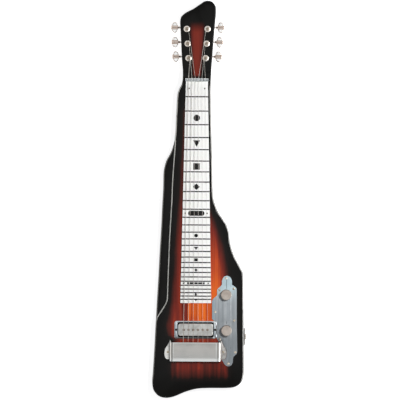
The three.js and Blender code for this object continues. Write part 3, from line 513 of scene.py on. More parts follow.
# %% Materials and colours
def material(name, recipe, **constants):
    """The recipe gives what varies; the constants are set on the shader's own sockets."""
    made = bpy.data.materials.new(name)
    made.use_nodes = True
    made.node_tree.nodes.clear()
    sheet = Sheet(made.node_tree)
    values = {key.replace("_", " "): value for key, value in constants.items()}
    values.update(recipe(sheet))
    shader = sheet.add("ShaderNodeBsdfPrincipled", None, values)
    sheet.add("ShaderNodeOutputMaterial", None, {"Surface": shader})
    print("finish:", name, "with", len(made.node_tree.nodes), "nodes")
    return made


def colour(red, green, blue):
    """A colour as a screen shows it, from 0 to 255, turned into light."""
    values = [v / 255 for v in (red, green, blue)]
    return tuple(v / 12.92 if v <= 0.04045 else ((v + 0.055) / 1.055) ** 2.4 for v in values)


print("middle grey as light:", round(colour(128, 128, 128)[0], 3))

# %% [markdown]
# ## The lacquered wood
# The wood is stained in a burst: orange in the middle, through dark red to black at the edges,
# under clear lacquer. The burst isn't a plain ring: its edges run along the body, so two curves
# over the length say how far the colour reaches on the bass side and on the treble side. Grain
# runs along the strings and shows only where the stain is thin.


# %% How far the colour reaches, at places along the body
curve_start = -100.0
curve_end = 760.0
# The dip of bass_stain to 55 at 28 mm is painted shade in the gap between the bridge cover and the pickup
# ring.
bass_stain = [
    (-70, 54), (-45, 64), (16, 66), (28, 55), (38, 69), (60, 73), (110, 63), (170, 59), (240, 56),
    (330, 47), (430, 42), (520, 37), (590, 14),
]
treble_stain = [
    (-70, 62), (-50, 86), (0, 88), (60, 85), (130, 88), (180, 81), (230, 71), (260, 62), (290, 50),
    (330, 34), (420, 25), (520, 20), (590, 12),
]
palest_stain = [
    (-64, 0), (-48, 27), (-33, 46), (5, 49), (28, 50), (45, 54), (64, 68), (85, 80), (130, 75), (178, 61),
    (200, 58), (243, 48), (290, 40), (330, 36), (420, 31), (520, 27), (590, 12),
]


def curve_along(sheet, along, stops):
    """A curve through pairs of place and value; the values go up to 100."""
    length = curve_end - curve_start
    marks = [((place - curve_start) / length, (value / 100,) * 3) for place, value in stops]
    return sheet.ramp((along - curve_start) / length, marks) * 100


print("the stain's curves have", len(bass_stain), len(treble_stain), len(palest_stain), "places")


# %% Depth of the stain, from 0 in the black to 1 in the palest orange
def stain_depth(sheet, x, y, stripes):
    wander = sheet.noise(30, (1, 0.5, 1)) - 0.5
    bass = curve_along(sheet, y, bass_stain)
    treble = curve_along(sheet, y, treble_stain)
    palest = curve_along(sheet, y, palest_stain) / 100
    glued_joint = (x + wander * 2).rise(-17.8, -16.2) * 0.38
    left = (x + bass + wander * 8).rise(0, 27) * 0.47 + glued_joint
    right = (treble - x + wander * 8).rise(0, 42) * (0.81 - x.rise(14, 32) * 0.08)
    depth = left.least(right).least(palest + wander * 0.1)
    grain = sheet.noise(4, (1.3, 0.02, 0.6), detail=6.0, rough=0.6)
    broad = sheet.noise(24, (1.7, 0.04, 0.6), detail=3.0).rise(0.38, 0.6)
    at_tail = y.rise(-14, -26)
    depth = depth * (0.84 + stripes * 0.22) * (1 - at_tail * (1 - broad) * 0.42)
    return (depth + (grain - 0.5) * 0.2 * depth.rise(0.1, 0.5)).held()


# %% Colours of the stain on the face and on the headstock
black_stain = colour(10, 9, 7)
stain_colours = [
    (0.0, black_stain), (0.12, colour(24, 15, 12)), (0.28, colour(80, 29, 22)), (0.46, colour(120, 38, 27)),
    (0.62, colour(184, 70, 34)), (0.74, colour(216, 96, 34)), (0.86, colour(232, 110, 34)),
    (1.0, colour(242, 132, 42)),
]
head_start = 590


def head_stain(sheet, x, y, stripes):
    """A dark red wedge that widens towards the top and ends in black."""
    half_width = 9.5 + (y - head_start) * 0.075
    across = (abs(x) / half_width).held()
    tone = sheet.mix(across.rise(0.15, 0.75) * 0.8, colour(126, 43, 30), colour(96, 31, 24))
    tone = sheet.mix(stripes * 0.3, tone, colour(96, 30, 23))
    wedge = sheet.mix(across.rise(0.55, 1.0), tone, black_stain)
    return sheet.mix(y.rise(688, 716), wedge, black_stain)


print("steps of the stain:", len(stain_colours))


# %% A pale painted highlight along the rounded edges of the lacquer
def painted_edge_highlight(sheet, x, y, z):
    """How strongly the rounded long edges carry a pale painted highlight, and its colour."""
    slope = sheet.split(sheet.add("ShaderNodeNewGeometry", out="Normal"))[2]
    arris = slope.rise(0.975, 0.93) * slope.rise(0.34, 0.55)
    ledge_line = z.rise(34, 38) * x.rise(5, -5) * y.rise(60, 90)
    outer_highlight = sheet.mix(x.rise(10, 30), colour(120, 118, 114), colour(200, 199, 195))
    tint = sheet.mix(ledge_line, outer_highlight, colour(206, 205, 199))
    long_side = y.rise(-66, -50) * y.rise(585, 560)
    highlight_patches = sheet.noise(14, detail=5.0, rough=0.7).rise(0.3, 0.5) * 0.45 + 0.55
    return arris * long_side * highlight_patches * z.rise(27, 29) * 0.9, tint


def lacquer_recipe(sheet):
    x, y, z = sheet.axes()
    stripes = sheet.noise(11, (1.2, 0.03, 0.6), detail=3.0).rise(0.36, 0.6)
    depth = stain_depth(sheet, x, y, stripes)
    on_head = y.rise(head_start, head_start + 10)
    stain = sheet.mix(on_head, sheet.ramp(depth, stain_colours), head_stain(sheet, x, y, stripes))
    pores = sheet.noise(2.2, (2.4, 0.06, 1), detail=2.0).rise(0.62, 0.75) * depth.rise(0.2, 0.5)
    stain = sheet.mix(pores * 0.28, stain, colour(70, 24, 16))
    on_top = z.rise(face - 1.8, face - 0.6).most(on_head * z.rise(head_face - 1.1, head_face - 0.3))
    stain = sheet.mix(on_top, black_stain, stain)
    # The rounded edges get a pale painted highlight over the stain.
    worn, highlight_tint = painted_edge_highlight(sheet, x, y, z)
    dust = sheet.noise(60, detail=5.0)
    ripple = sheet.noise(18, (1, 0.4, 1), detail=2.0)
    return {
        "Base Color": sheet.mix(worn, stain, highlight_tint),
        "Roughness": 0.14 + dust.rise(0.45, 0.75) * 0.07,
        "Normal": sheet.bump(ripple, 0.05, 0.3),
    }


lacquered_wood = material("lacquered wood", lacquer_recipe, Specular_IOR_Level=0.17)

# %% [markdown]
# ## Plastic and paint
# The fingerboard is white sheet plastic with a faint haze of handling. Its lines and markers
# are printed in black, so their finish is a matt ink with worn, slightly greyer patches.


# %% White plastic and black ink
def plastic_recipe(sheet):
    haze = sheet.noise(45, (1, 0.5, 1), detail=5.0)
    scratch = sheet.noise(3, (3, 0.08, 1), detail=3.0)
    return {
        "Base Color": sheet.mix(haze.rise(0.4, 0.8) * 0.5, colour(252, 252, 250), colour(243, 243, 238)),
        "Roughness": 0.26 + scratch.rise(0.5, 0.8) * 0.14,
        "Normal": sheet.bump(scratch, 0.06, 0.05),
    }


def ink_recipe(sheet):
    worn = sheet.noise(2.4, detail=6.0, rough=0.7)
    return {
        "Base Color": sheet.mix(worn.rise(0.52, 0.75) * 0.6, colour(20, 19, 18), colour(64, 62, 60)),
        "Roughness": 0.5 + worn * 0.2,
        "Normal": sheet.bump(worn, 0.2, 0.05),
    }


white_plastic = material("white plastic", plastic_recipe, Specular_IOR_Level=0.35)
black_ink = material("black ink", ink_recipe, Specular_IOR_Level=0.25)

# %% [markdown]
# ## Metals
# Nearly all the metal is plated. What tells the parts apart is how it was finished before
# plating: the ring and nut are polished, the cover and the pickup are satin, the control plate
# is brushed along the strings and the knobs are warm nickel. One recipe serves them all, a tint
# that drifts, fine lines in the direction of the brushing, and a few handling marks. What only
# one piece shows, such as the darker notches of the nut or the painted shade and highlights of
# the cover, is put on top by a small recipe of its own.


# %% One recipe for all plated metal
def plated(name, tint, dull, rough, brush=(1, 1, 1), lines=2.0, line_depth=0.1, drift=40, dress=None):
    """Two tints, roughness, and sizes in mm; dress changes the values for one piece."""
    tint = colour(*tint)
    dull = colour(*dull)

    def recipe(sheet):
        clouds = sheet.noise(drift, detail=4.0)
        fine = sheet.noise(lines, brush, detail=5.0, rough=0.65)
        marks = sheet.noise(7, detail=8.0, rough=0.75).rise(0.6, 0.72)
        drifted = sheet.mix(clouds.rise(0.35, 0.7), tint, dull)
        brushed = sheet.mix(fine.rise(0.45, 0.8) * 0.35, drifted, dull)
        values = {
            "Base Color": sheet.mix(marks * 0.25, brushed, dull),
            "Roughness": rough + (fine - 0.5) * 0.16 + marks * 0.1,
            "Normal": sheet.bump(fine, line_depth, 0.05),
        }
        if dress:
            values.update(dress(sheet, values["Base Color"]))
        return values

    return material(name, recipe, Metallic=1.0)


polish = {"tint": (226, 230, 232), "dull": (190, 200, 205), "rough": 0.13, "lines": 5, "line_depth": 0.03}
bright_chrome = plated("bright chrome", **polish)


# %% Polished ring and nut
def painted_dark_rail(sheet, tint):
    """The rail beside the bridge is painted dark: painted shade and a painted dark reflection on the polished
    ring.
    """
    x, y, z = sheet.axes()
    # Painted shade on the rail beside the bridge.
    rail_shade = y.rise(35.2, 34.2) * abs(x + 2).rise(42, 37) * z.rise(44, 45)
    return {"Base Color": sheet.mix(rail_shade * 0.75, tint, colour(62, 50, 46))}


def notch_darkening(sheet, tint):
    """Darker where each string crosses the nut, in its notches."""
    x = sheet.axes()[0]
    near_string = (x * (2 * math.pi / nut_spacing) - math.pi / 2).sine() * -1
    return {"Base Color": sheet.mix(near_string.rise(0.7, 0.97) * 0.7, tint, colour(66, 64, 62))}


ring_chrome = plated("ring chrome", dress=painted_dark_rail, **polish)
plated_nut = plated(
    "plated nut", (238, 242, 242), (204, 210, 211), 0.24, lines=3, line_depth=0.05, dress=notch_darkening)


# %% Satin sheet of the bridge cover and the pickup
def cover_shade_and_highlights(sheet, tint):
    """Painted shade and highlights on the bends, the edges and the ears of the cover."""
    x, y, z = sheet.axes()
    across = abs(x + 1.6)
    on_bass = x.rise(5, -5)
    on_ears = z.rise(50, 47)
    # Dark lines of painted shade along each bend and at the foot of each wall.
    crease_shade = abs(across - 48.8).rise(1.4, 0.6) * z.rise(56, 60) * (0.4 + on_bass * 0.6)
    foot = abs(across - 54.6).rise(1.0, 0.4) * z.rise(54, 50) * 0.75
    foot = foot.most(x.rise(52.9, 53.5) * x.rise(55.5, 55) * z.rise(45.4, 46.4) * 0.8)
    # Pale strips of painted highlight beside the bends and at the back and front edges.
    beside = abs(across - 46.3).rise(1.4, 0.6) * z.rise(60, 63) * 0.5
    lip_highlight = (y.rise(-8, -12.5) * 0.65 + y.rise(6, -8) * 0.18) * z.rise(56, 60) * x.rise(52, 51)
    front = y.rise(21.2, 22.8) * z.rise(60, 63) * 0.45
    painted_highlight = lip_highlight.most(front).most(beside)
    # The ears are painted near white on the bass side and darker in patches on the treble side: painted light
    # and shade.
    clouds = sheet.noise(5, detail=4.0)
    treble_ear_shade = x.rise(-5, 5) * (0.45 + clouds.rise(0.4, 0.6) * 0.4)
    painted_ear_tint = sheet.mix(treble_ear_shade, colour(254, 253, 248), colour(176, 168, 162))
    tint = sheet.mix(painted_highlight, tint, colour(250, 253, 250))
    tint = sheet.mix(on_ears * 0.9, tint, painted_ear_tint)
    # Where the painted highlights and the bass ear are pale, the metal is made partly non-metal so that they
    # show bright.
    return {
        "Base Color": sheet.mix(crease_shade.most(foot), tint, colour(52, 47, 43)),
        "Metallic": 1 - (painted_highlight * 0.6).most(on_ears * on_bass * 0.5),
    }


satin_cover = plated(
    "satin bent sheet", (224, 220, 214), (202, 200, 195), 0.3, (0.02, 3, 1), 3, 0.08, 70, cover_shade_and_highlights)
satin_pickup = plated("satin pickup cover", (236, 235, 231), (204, 203, 198), 0.34, (0.05, 2, 1), 2, 0.1, 12)

# %% Warm nickel of the knobs
knob_boxes = [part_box(f"{use}_knob") for use in ("volume", "tone")]
knob_centres = [[(low + high) / 2 / MM for low, high in zip(*corners)] for corners in knob_boxes]
dirt_and_shade_brown = colour(70, 58, 48)


def from_knobs(x, y):
    """Distance to the axis of the nearer knob."""
    reaches = [((x - place[0]) ** 2 + (y - place[1]) ** 2) ** 0.5 for place in knob_centres]
    return reaches[0].least(reaches[1])


def knurl_grime_and_shade(sheet, tint):
    """Darker sides, grime in the knurling and painted shade that the plate mirrors; a darker rim on the top,
    painted shade.
    """
    x, y, z = sheet.axes()
    # The dark sides are partly painted shade: the plate mirrors them as a dark ring round each knob.
    sides = z.rise(63.8, 62.6) * z.rise(47.0, 48.4) * 0.8
    # The darker rim of the top is painted shade.
    rim_shade = from_knobs(x, y).rise(9.6, 10.9) * 0.5
    return {"Base Color": sheet.mix(sides.most(rim_shade), tint, dirt_and_shade_brown)}


warm_nickel = plated(
    "warm nickel", (226, 214, 203), (206, 192, 180), 0.36, lines=1.6, line_depth=0.12, drift=9,
    dress=knurl_grime_and_shade)


# %% Button plating: flats painted bright, brown tarnish in the grooves, and painted shade on the rims and the hub's sides
def button_recipe(sheet):
    dark = sheet.add("ShaderNodeAttribute", {"attribute_name": "tarnish"}, out="Fac")
    spots = sheet.noise(2.5, detail=6.0, rough=0.7)
    dark = (dark + (spots - 0.5) * 0.3 * dark).held()
    return {
        "Base Color": sheet.ramp(dark, [
            (0.0, colour(254, 254, 252)), (0.2, colour(244, 232, 224)), (0.6, colour(182, 152, 128)),
            (1.0, dirt_and_shade_brown),
        ]),
        "Roughness": 0.16 + dark * 0.2 + spots.rise(0.5, 0.8) * 0.08,
        # The flats are made near white and partly non-metal, so they show bright: a painted highlight.
        "Metallic": 1 - dark.rise(0.3, 0.0) * 0.7,
        "Normal": sheet.bump(spots, 0.08, 0.05),
    }


button_nickel = material("button nickel", button_recipe)

# %% Small parts: two tints, roughness, then sizes of lines, depth and drift
tuner_nickel = plated("tuner nickel", (236, 233, 228), (196, 186, 176), 0.15, lines=4, line_depth=0.04)
bushing_nickel = plated(
    "bushing nickel", (246, 240, 232), (222, 210, 197), 0.24, lines=2, line_depth=0.06, drift=4)
post_nickel = plated(
    "post nickel, browned", (192, 178, 160), (140, 124, 106), 0.34, lines=1.4, line_depth=0.1, drift=3)
screw_nickel = plated(
    "screw nickel", (236, 226, 208), (164, 146, 124), 0.3, lines=1.2, line_depth=0.15, drift=3)
pole_steel = plated(
    "worn pole steel", (174, 158, 142), (116, 98, 84), 0.4, lines=1.0, line_depth=0.2, drift=3)
dark_steel = plated("darkened steel", (74, 68, 62), (40, 35, 32), 0.4, lines=1.2, line_depth=0.2, drift=4)
zinc = plated("dull zinc", (150, 150, 148), (110, 108, 104), 0.45, lines=1.5, line_depth=0.2, drift=6)


# %% Brushed control plate: streaks along the strings, and a painted reflection, darker towards the tail and pale blue at the upper end and inner edge
def brushed_recipe(sheet):
    x, y = sheet.axes()[:2]
    streaks = sheet.noise(5.5, (1.6, 0.012, 1), detail=8.0, rough=0.7)
    broad = sheet.noise(14, (1.2, 0.02, 1), detail=2.0)
    base = sheet.mix(streaks.rise(0.3, 0.72), colour(196, 201, 204), colour(140, 147, 152))
    base = sheet.mix(broad.rise(0.4, 0.7) * 0.45, base, colour(162, 170, 176))
    # Painted reflection: darker towards the tail, pale blue towards the upper end and along the inner edge.
    base = sheet.mix(y.rise(115, 10) * 0.68, base, colour(122, 128, 132))
    base = sheet.mix(y.rise(104, 150) * 0.9, base, colour(196, 219, 226))
    smears = sheet.noise(22, detail=6.0)
    return {
        "Base Color": sheet.mix(x.rise(43, 38) * 0.6, base, colour(142, 172, 186)),
        "Roughness": 0.3 + (streaks - 0.5) * 0.3 + smears.rise(0.5, 0.8) * 0.1,
        "Metallic": from_knobs(x, y).rise(13, 22) * 0.35,
        "Normal": sheet.bump(streaks, 0.22, 0.08),
    }


brushed_plate = material("brushed control plate", brushed_recipe)


# %% Wound strings show the turns of their wrap, plain ones are drawn wire
wrap_pitch = 0.26


def wound_recipe(sheet):
    along = sheet.add("ShaderNodeAttribute", {"attribute_name": "along"}, out="Fac")
    turns = (along * (2 * math.pi / wrap_pitch)).sine() * 0.5 + 0.5
    grime = sheet.noise(12, detail=4.0)
    # Each turn is painted lighter on its crest and darker between turns: painted highlight and shade.
    tint = sheet.mix(turns, colour(140, 136, 130), colour(206, 201, 193))
    return {
        "Base Color": sheet.mix(grime.rise(0.5, 0.8) * 0.4, tint, colour(128, 118, 104)),
        "Roughness": 0.6 + grime * 0.12,
        "Normal": sheet.bump(turns, 0.12, 0.05),
    }


wound_wire = material("wound wire", wound_recipe, Metallic=1.0)
plain_wire = plated("plain wire", (206, 202, 195), (184, 180, 174), 0.6, (1, 0.05, 1), 1, 0.02)


# %% Cloth tape on the coil
def tape_recipe(sheet):
    x, z = sheet.axes()[::2]
    weave = (x * 14).sine() * (z * 14).sine()
    lint = sheet.noise(3, detail=6.0)
    return {
        "Base Color": sheet.mix(lint.rise(0.5, 0.8), colour(26, 24, 22), colour(58, 52, 46)),
        "Roughness": 0.75 + lint * 0.15,
        "Normal": sheet.bump(weave + lint, 0.4, 0.1),
    }


coil_tape = material("coil tape", tape_recipe)

# %% [markdown]
# ## The body
# Body, neck and headstock are one slab. Its outline was drawn as shares of the sizes
# above, and a smooth curve runs through the points. Three slabs with rounded edges make the
# wood: the low tier, the high tier that leaves the ledge free, and the headstock. A side
# profile then trims the heel and the scoop behind the nut.

# %% Outline of the wood, in shares
bass_edge_shares = [
    (1.003, 0.021), (0.989, 0.053), (0.974, 0.142), (0.955, 0.209), (0.915, 0.229), (0.871, 0.243),
    (0.798, 0.265), (0.768, 0.32), (0.738, 0.426), (0.709, 0.593), (0.68, 0.675), (0.664, 0.694),
    (0.606, 0.694), (0.548, 0.714), (0.474, 0.731), (0.37, 0.77), (0.282, 0.796), (0.193, 0.831),
    (0.104, 0.876), (0.017, 0.921), (-0.072, 0.976),
]
treble_edge_shares = [
    (0.993, -0.006), (0.941, -0.01), (0.871, -0.012), (0.768, 0), (0.664, 0.006), (0.606, 0.008),
    (0.577, 0.02), (0.5615, 0.044), (0.548, 0.08), (0.532, 0.132), (0.517, 0.198), (0.503, 0.28),
    (0.488, 0.367), (0.474, 0.448), (0.459, 0.492), (0.445, 0.523), (0.414, 0.553), (0.385, 0.608),
    (0.356, 0.7), (0.327, 0.837), (0.3115, 0.906), (0.298, 0.968), (0.286, 0.978), (0.267, 0.983),
    (0.193, 0.977), (0.104, 0.986), (0.017, 0.995), (-0.027, 1),
]
treble_tail_shares = [
    (0.997, 0.474), (0.963, 0.613), (0.886, 0.711), (0.785, 0.758), (0.655, 0.774), (0.235, 0.779),
    (0.025, 0.796),
]
bass_tail_shares = [
    (0.23, 0.864), (0.499, 0.971), (0.679, 1), (0.828, 0.969), (0.933, 0.881), (0.98, 0.794), (1, 0.619),
]
treble_head_shares = [
    (0.759, 0.1075), (0.804, 0.256), (0.851, 0.405), (0.911, 0.605), (0.965, 0.748), (0.995, 0.8225),
    (1, 0.897), (0.9926, 0.923), (0.948, 0.9485), (0.876, 0.971), (0.789, 0.99), (0.66, 1),
    (0.484, 1), (0.3275, 0.9886), (0.228, 0.971), (0.079, 0.9485),
]
bass_head_shares = [
    (0.079, 0.923), (0.253, 0.897), (0.4615, 0.874), (0.648, 0.849), (0.784, 0.8225), (0.868, 0.8),
    (0.902, 0.775), (0.918, 0.748), (0.916, 0.7025), (0.888, 0.605), (0.846, 0.405), (0.806, 0.256),
    (0.767, 0.159), (0.754, 0.073),
]
ledge_shares = [
    (0.78, 0.262), (0.71, 0.304), (0.637, 0.34), (0.563, 0.352), (0.49, 0.379), (0.416, 0.405),
    (0.342, 0.416), (0.269, 0.427), (0.215, 0.433), (0.197, 0.437), (0.18, 0.5), (0.154, 0.677),
    (0.132, 0.825),
]
bass_count = len(bass_edge_shares) + len(bass_tail_shares) + len(bass_head_shares)
print("hand drawn points on the bass side:", bass_count)


# %% From shares to places
def board_half_at(y):
    along = min(max((y - board_end) / (scale_length - board_end), 0), 1)
    return board_end_half + (board_nut_half - board_end_half) * along


def edge_point(side, share):
    y = share[0] * scale_length
    reach = treble_reach if side > 0 else bass_reach
    return side * (board_half_at(y) + neck_margin + share[1] * (reach - board_end_half - neck_margin)), y


def tail_point(side, share):
    return side * share[0] * (treble_reach if side > 0 else bass_reach), -share[1] * tail_length


def head_point(side, share):
    return side * share[0] * head_reach, scale_length + share[1] * head_length


corner_points = (
    [tail_point(1, s) for s in treble_tail_shares][::-1]
    + [edge_point(1, s) for s in treble_edge_shares][::-1]
    + [head_point(1, s) for s in treble_head_shares]
    + [head_point(-1, s) for s in bass_head_shares]
    + [edge_point(-1, s) for s in bass_edge_shares]
    + [tail_point(-1, s) for s in bass_tail_shares][::-1]
)
print("the whole outline was drawn with", len(corner_points), "points")


# %% A smooth outline through them
def smoothed(points, closed=True, steps=6):
    """A curve through the points that doesn't swing out at uneven gaps."""
    points = [Vector(p) for p in points]
    count = len(points)
    made = []
    for i in range(count if closed else count - 1):
        p1 = points[i]
        p2 = points[(i + 1) % count]
        p0 = points[i - 1] if closed or i > 0 else p1 * 2 - p2
        p3 = points[(i + 2) % count] if closed or i + 2 < count else p2 * 2 - p1
        d0, d1, d2 = [max(math.sqrt((b - a).length), 0.01) for a, b in ((p0, p1), (p1, p2), (p2, p3))]
        out = ((p1 - p0) / d0 - (p2 - p0) / (d0 + d1) + (p2 - p1) / d1) * d1
        into = ((p2 - p1) / d1 - (p3 - p1) / (d1 + d2) + (p3 - p2) / d2) * d1
        for step in range(steps):
            t = step / steps
            bend = p1 * (2 * t ** 3 - 3 * t ** 2 + 1) + out * (t ** 3 - 2 * t ** 2 + t)
            made.append(tuple(bend + p2 * (3 * t ** 2 - 2 * t ** 3) + into * (t ** 3 - t ** 2)))
    if not closed:
        made.append(tuple(points[-1]))
    return made


neck_end = scale_length + 7.5
scoop_length = 16
scoop_end = neck_end + scoop_length
heel_length = 30
heel_start = scale_length - head_thickness
outline = smoothed(corner_points)
body_outline = [p for p in outline if p[1] < scoop_end]
head_outline = [p for p in outline if p[1] > heel_start]
ledge = smoothed([edge_point(-1, s) for s in ledge_shares], closed=False)
ledge_top = ledge[0][1]
ledge_bottom = ledge[-1][1]
beside = [i for i, (x, y) in enumerate(body_outline) if x < 0 and ledge_bottom < y < ledge_top]
high_outline = body_outline[:beside[0]] + ledge + body_outline[beside[-1] + 1:]
print("outline of", len(outline), "points, ledge from", round(ledge_bottom), "to", round(ledge_top), "mm")

# %% Places of what is let into the wood
ring_half = 45.5
ring_width = 38
pickup_place = 50.4
pickup_depth = 16
pocket_margin = 2
plate_left = board_end_half + 2
plate_right = treble_reach - 14.7
plate_length = 194.7
plate_tail = 27.8
jack_place = 34.8
jack_height = 22
pot_places = [
    (ring_half + across * (plate_right - ring_half), along * plate_length - plate_tail)
    for across, along in ((0.447, 0.7915), (0.468, 0.3975))
]
post_row_shares = [(0.459, 0.2906), (0.509, 0.47), (0.556, 0.651)]
post_places = [head_point(side, share) for side in (-1, 1) for share in post_row_shares]
print("knobs at", [(round(x, 1), round(y, 1)) for x, y in pot_places])


# %% Side profile with the round heel and the scoop behind the nut
def side_profile():
    steps = 16
    spare = 2
    tail = -tail_length - spare
    points = [(tail, -spare), (heel_start, -spare)]
    for i in range(steps + 1):
        angle = i / steps * math.pi / 2
        points.append((heel_start + heel_length * math.sin(angle), head_back * (1 - math.cos(angle))))
    points += [(scoop_end + spare, head_back), (scoop_end + spare, head_face)]
    for i in range(steps + 1):
        angle = (1 - i / steps) * math.pi / 2
        along = neck_end + scoop_length * (1 - math.cos(angle))
        points.append((along, face - head_face_drop * math.sin(angle)))
    points += [(neck_end, face + spare), (tail, face + spare)]
    half = treble_reach + spare
    return loft("side profile", [[(x, y, z) for y, z in points] for x in (-half, half)])


body = slab("body_wood", body_outline, 0, face - ledge_drop, edge_round, steps=5)
high_tier = slab("high tier", high_outline, edge_round, face, edge_round, steps=6)
combine(body, [high_tier], "UNION")
combine(body, [side_profile()], "INTERSECT")
combine(body, [slab("head slab", head_outline, head_back, head_face, edge_round, steps=6)], "UNION")
print("the bare wood has", len(body.data.polygons), "faces")

# %% Hollows for the pickup, the controls, the jack and the posts
jack_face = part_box("jack_plate")[0].x / MM - fit
pocket_half = ring_half - pocket_margin
pocket_wide = ring_width / 2 - pocket_margin
pocket_floor = face - pickup_depth
cavity_floor = face - 26
above = face + 2
pot_room = 13.3
(high_x, high_y), (low_x, low_y) = pot_places
middle = (high_x + low_x) / 2
jack_depth = jack_face - low_x - 2.85
jack_hole = along_x(turned("jack hole", [(0, -jack_depth), (9.5, -jack_depth), (9.5, 2), (0, 2)], 40))
moved(jack_hole, shift(jack_face, jack_place, jack_height))
hollows = [
    box(-pocket_half, pocket_half, pickup_place - pocket_wide, pickup_place + pocket_wide, pocket_floor,
        above),
    drill(high_x, high_y, pot_room, cavity_floor, above),
    drill(low_x, low_y, pot_room, cavity_floor, above),
    box(middle - 8, middle + 8, low_y, high_y, cavity_floor, above),
    box(pocket_half - 2, low_x, low_y - 3, low_y + 3, pocket_floor, pocket_floor + 6),
    jack_hole,
]
bushing_seat = head_face - 7.8
for x, y in post_places:
    hollows.append(turned("post hole", [
        (0, head_back - 2), (3.6, head_back - 2), (3.6, bushing_seat), (5.2, bushing_seat),
        (5.2, head_face + 2), (0, head_face + 2),
    ], 32, (x, y, 0)))
combine(body, hollows)
finished(body, "root", lacquered_wood, ["body"], angle=25)

# %% [markdown]
# ## The fingerboard
# A white sheet with 28 black lines that only show where a fret would be. Each line lies at the
# scale length divided by the twelfth root of two once more, so Geometry Nodes can make them:
# points numbered from the nut, each moved to its place, and one flat bar for each point.

# %% White board
board_nut_end = scale_length - fit
board_outline = [
    (-board_end_half, board_end), (board_end_half, board_end),
    (board_half_at(board_nut_end), board_nut_end), (-board_half_at(board_nut_end), board_nut_end),
]
board = slab("fingerboard_sheet", board_outline, face + fit, board_top, 0.4, 0.1, steps=3)
finished(board, "root", white_plastic, ["fingerboard"])


# %% A tree of Geometry Nodes with named inputs
def node_tree(name, inputs):
    tree = bpy.data.node_groups.new(name, "GeometryNodeTree")
    tree.interface.new_socket("Geometry", in_out="INPUT", socket_type="NodeSocketGeometry")
    tree.interface.new_socket("Geometry", in_out="OUTPUT", socket_type="NodeSocketGeometry")
    for label, kind in inputs.items():
        tree.interface.new_socket(label, in_out="INPUT", socket_type=f"NodeSocket{kind}")
    sheet = Sheet(tree)
    sheet.start = tree.nodes.new("NodeGroupInput")
    sheet.end = tree.nodes.new("NodeGroupOutput")
    return sheet


def given(sheet, label):
    return Wire(sheet, sheet.start.outputs[label])


def finish_tree(sheet, geometry, finish):
    solid = sheet.add("GeometryNodeRealizeInstances", None, {0: geometry})
    dressed = sheet.add("GeometryNodeSetMaterial", None, {"Geometry": solid, "Material": finish})
    sheet.tree.links.new(dressed.socket, sheet.end.inputs["Geometry"])


def grow(made, sheet, values):
    """Runs the tree on a piece with its inputs set, and keeps the result as plain mesh."""
    step = made.modifiers.new("grow", "NODES")
    step.node_group = sheet.tree
    for item in sheet.tree.interface.items_tree:
        if item.in_out == "INPUT" and item.name in values:
            step[item.identifier] = values[item.name]
    return settle(made)


# %% Fret lines, each running from edge to edge of the board at its place
line_width = 2.5
line_margin = 0.25
line_thickness = 0.1
lines = node_tree("fret lines", {
    "Count": "Int", "Scale Length": "Float", "Nut Half": "Float", "End Half": "Float", "Board End": "Float",
    "Line Width": "Float", "Height": "Float",
})
scale_input, nut_input, end_input, foot_input = [
    given(lines, label) for label in ("Scale Length", "Nut Half", "End Half", "Board End")
]
number = lines.add("GeometryNodeInputIndex")
place = scale_input * 2.0 ** ((number + 1.0) / -12.0)
half = end_input + (nut_input - end_input) * ((place - foot_input) / (scale_input - foot_input))
spot = lines.add("ShaderNodeCombineXYZ", None, {0: 0.0, 1: place, 2: given(lines, "Height")})
points = lines.add("GeometryNodePoints", None, {"Count": given(lines, "Count"), "Position": spot})
bar = lines.add("GeometryNodeMeshCube", None, {"Size": (2.0, 1.0, 1.0)})
width_input = given(lines, "Line Width")
size = lines.add("ShaderNodeCombineXYZ", None, {0: half, 1: width_input, 2: line_thickness * MM})
bars = lines.add("GeometryNodeInstanceOnPoints", None, {"Points": points, "Instance": bar, "Scale": size})
finish_tree(lines, bars, black_ink)
fret_lines = grow(mesh_object("fret_lines", [], []), lines, {
    "Count": fret_count, "Scale Length": scale_length * MM, "Nut Half": (board_nut_half - line_margin) * MM,
    "End Half": (board_end_half - line_margin) * MM, "Board End": board_end * MM,
    "Line Width": line_width * MM, "Height": board_top * MM,
})
finished(fret_lines, "root", black_ink)


# %% Shapes of the position markers
def polygon(radius, count):
    return [(radius * math.cos(angle), radius * math.sin(angle)) for angle in spin(count)]


def triangle(width, height):
    return [(-width / 2, height / 2), (0, -height / 2), (width / 2, height / 2)]


def diamond(width, height):
    return [(width / 2, 0), (0, height / 2), (-width / 2, 0), (0, -height / 2)]


big = 14
markers = [
    (3, polygon(big / 2, 40)),
    (5, triangle(1.06 * big, big)),
    (7, rounded_rectangle(big, big, 0.5, 3)),
    (9, diamond(1.06 * big, big)),
    (12, rounded_rectangle(35, 0.78 * big, 0.37 * big)),
    (15, polygon(0.28 * big, 32)),
    (17, triangle(0.7 * big, 0.47 * big)),
    (19, rounded_rectangle(0.54 * big, 0.46 * big, 0.3, 3)),
    (21, diamond(0.52 * big, 0.52 * big)),
    (27, polygon(0.175 * big, 24)),
    (28, triangle(0.36 * big, 0.3 * big)),
]
for place, wide in ((-16.6, 4.4), (-8.8, 9), (0.4, 7.4), (9.4, 8.6), (16.9, 4.2)):
    markers.append((24, [(px + place, py) for px, py in rounded_rectangle(wide, 4.2, 0.5, 3)]))
print("markers:", len(markers))

# %% Markers printed between the lines
inlays = []
for fret, shape in markers:
    y = (fret_place(fret) + fret_place(fret - 1)) / 2 if fret < fret_count else fret_place(fret) - 2.2
    inlays.append(slab("marker", [(px, py + y) for px, py in shape], board_top - 0.2, board_top + 0.05))
finished(join("marker_inlays", inlays), "root", black_ink)

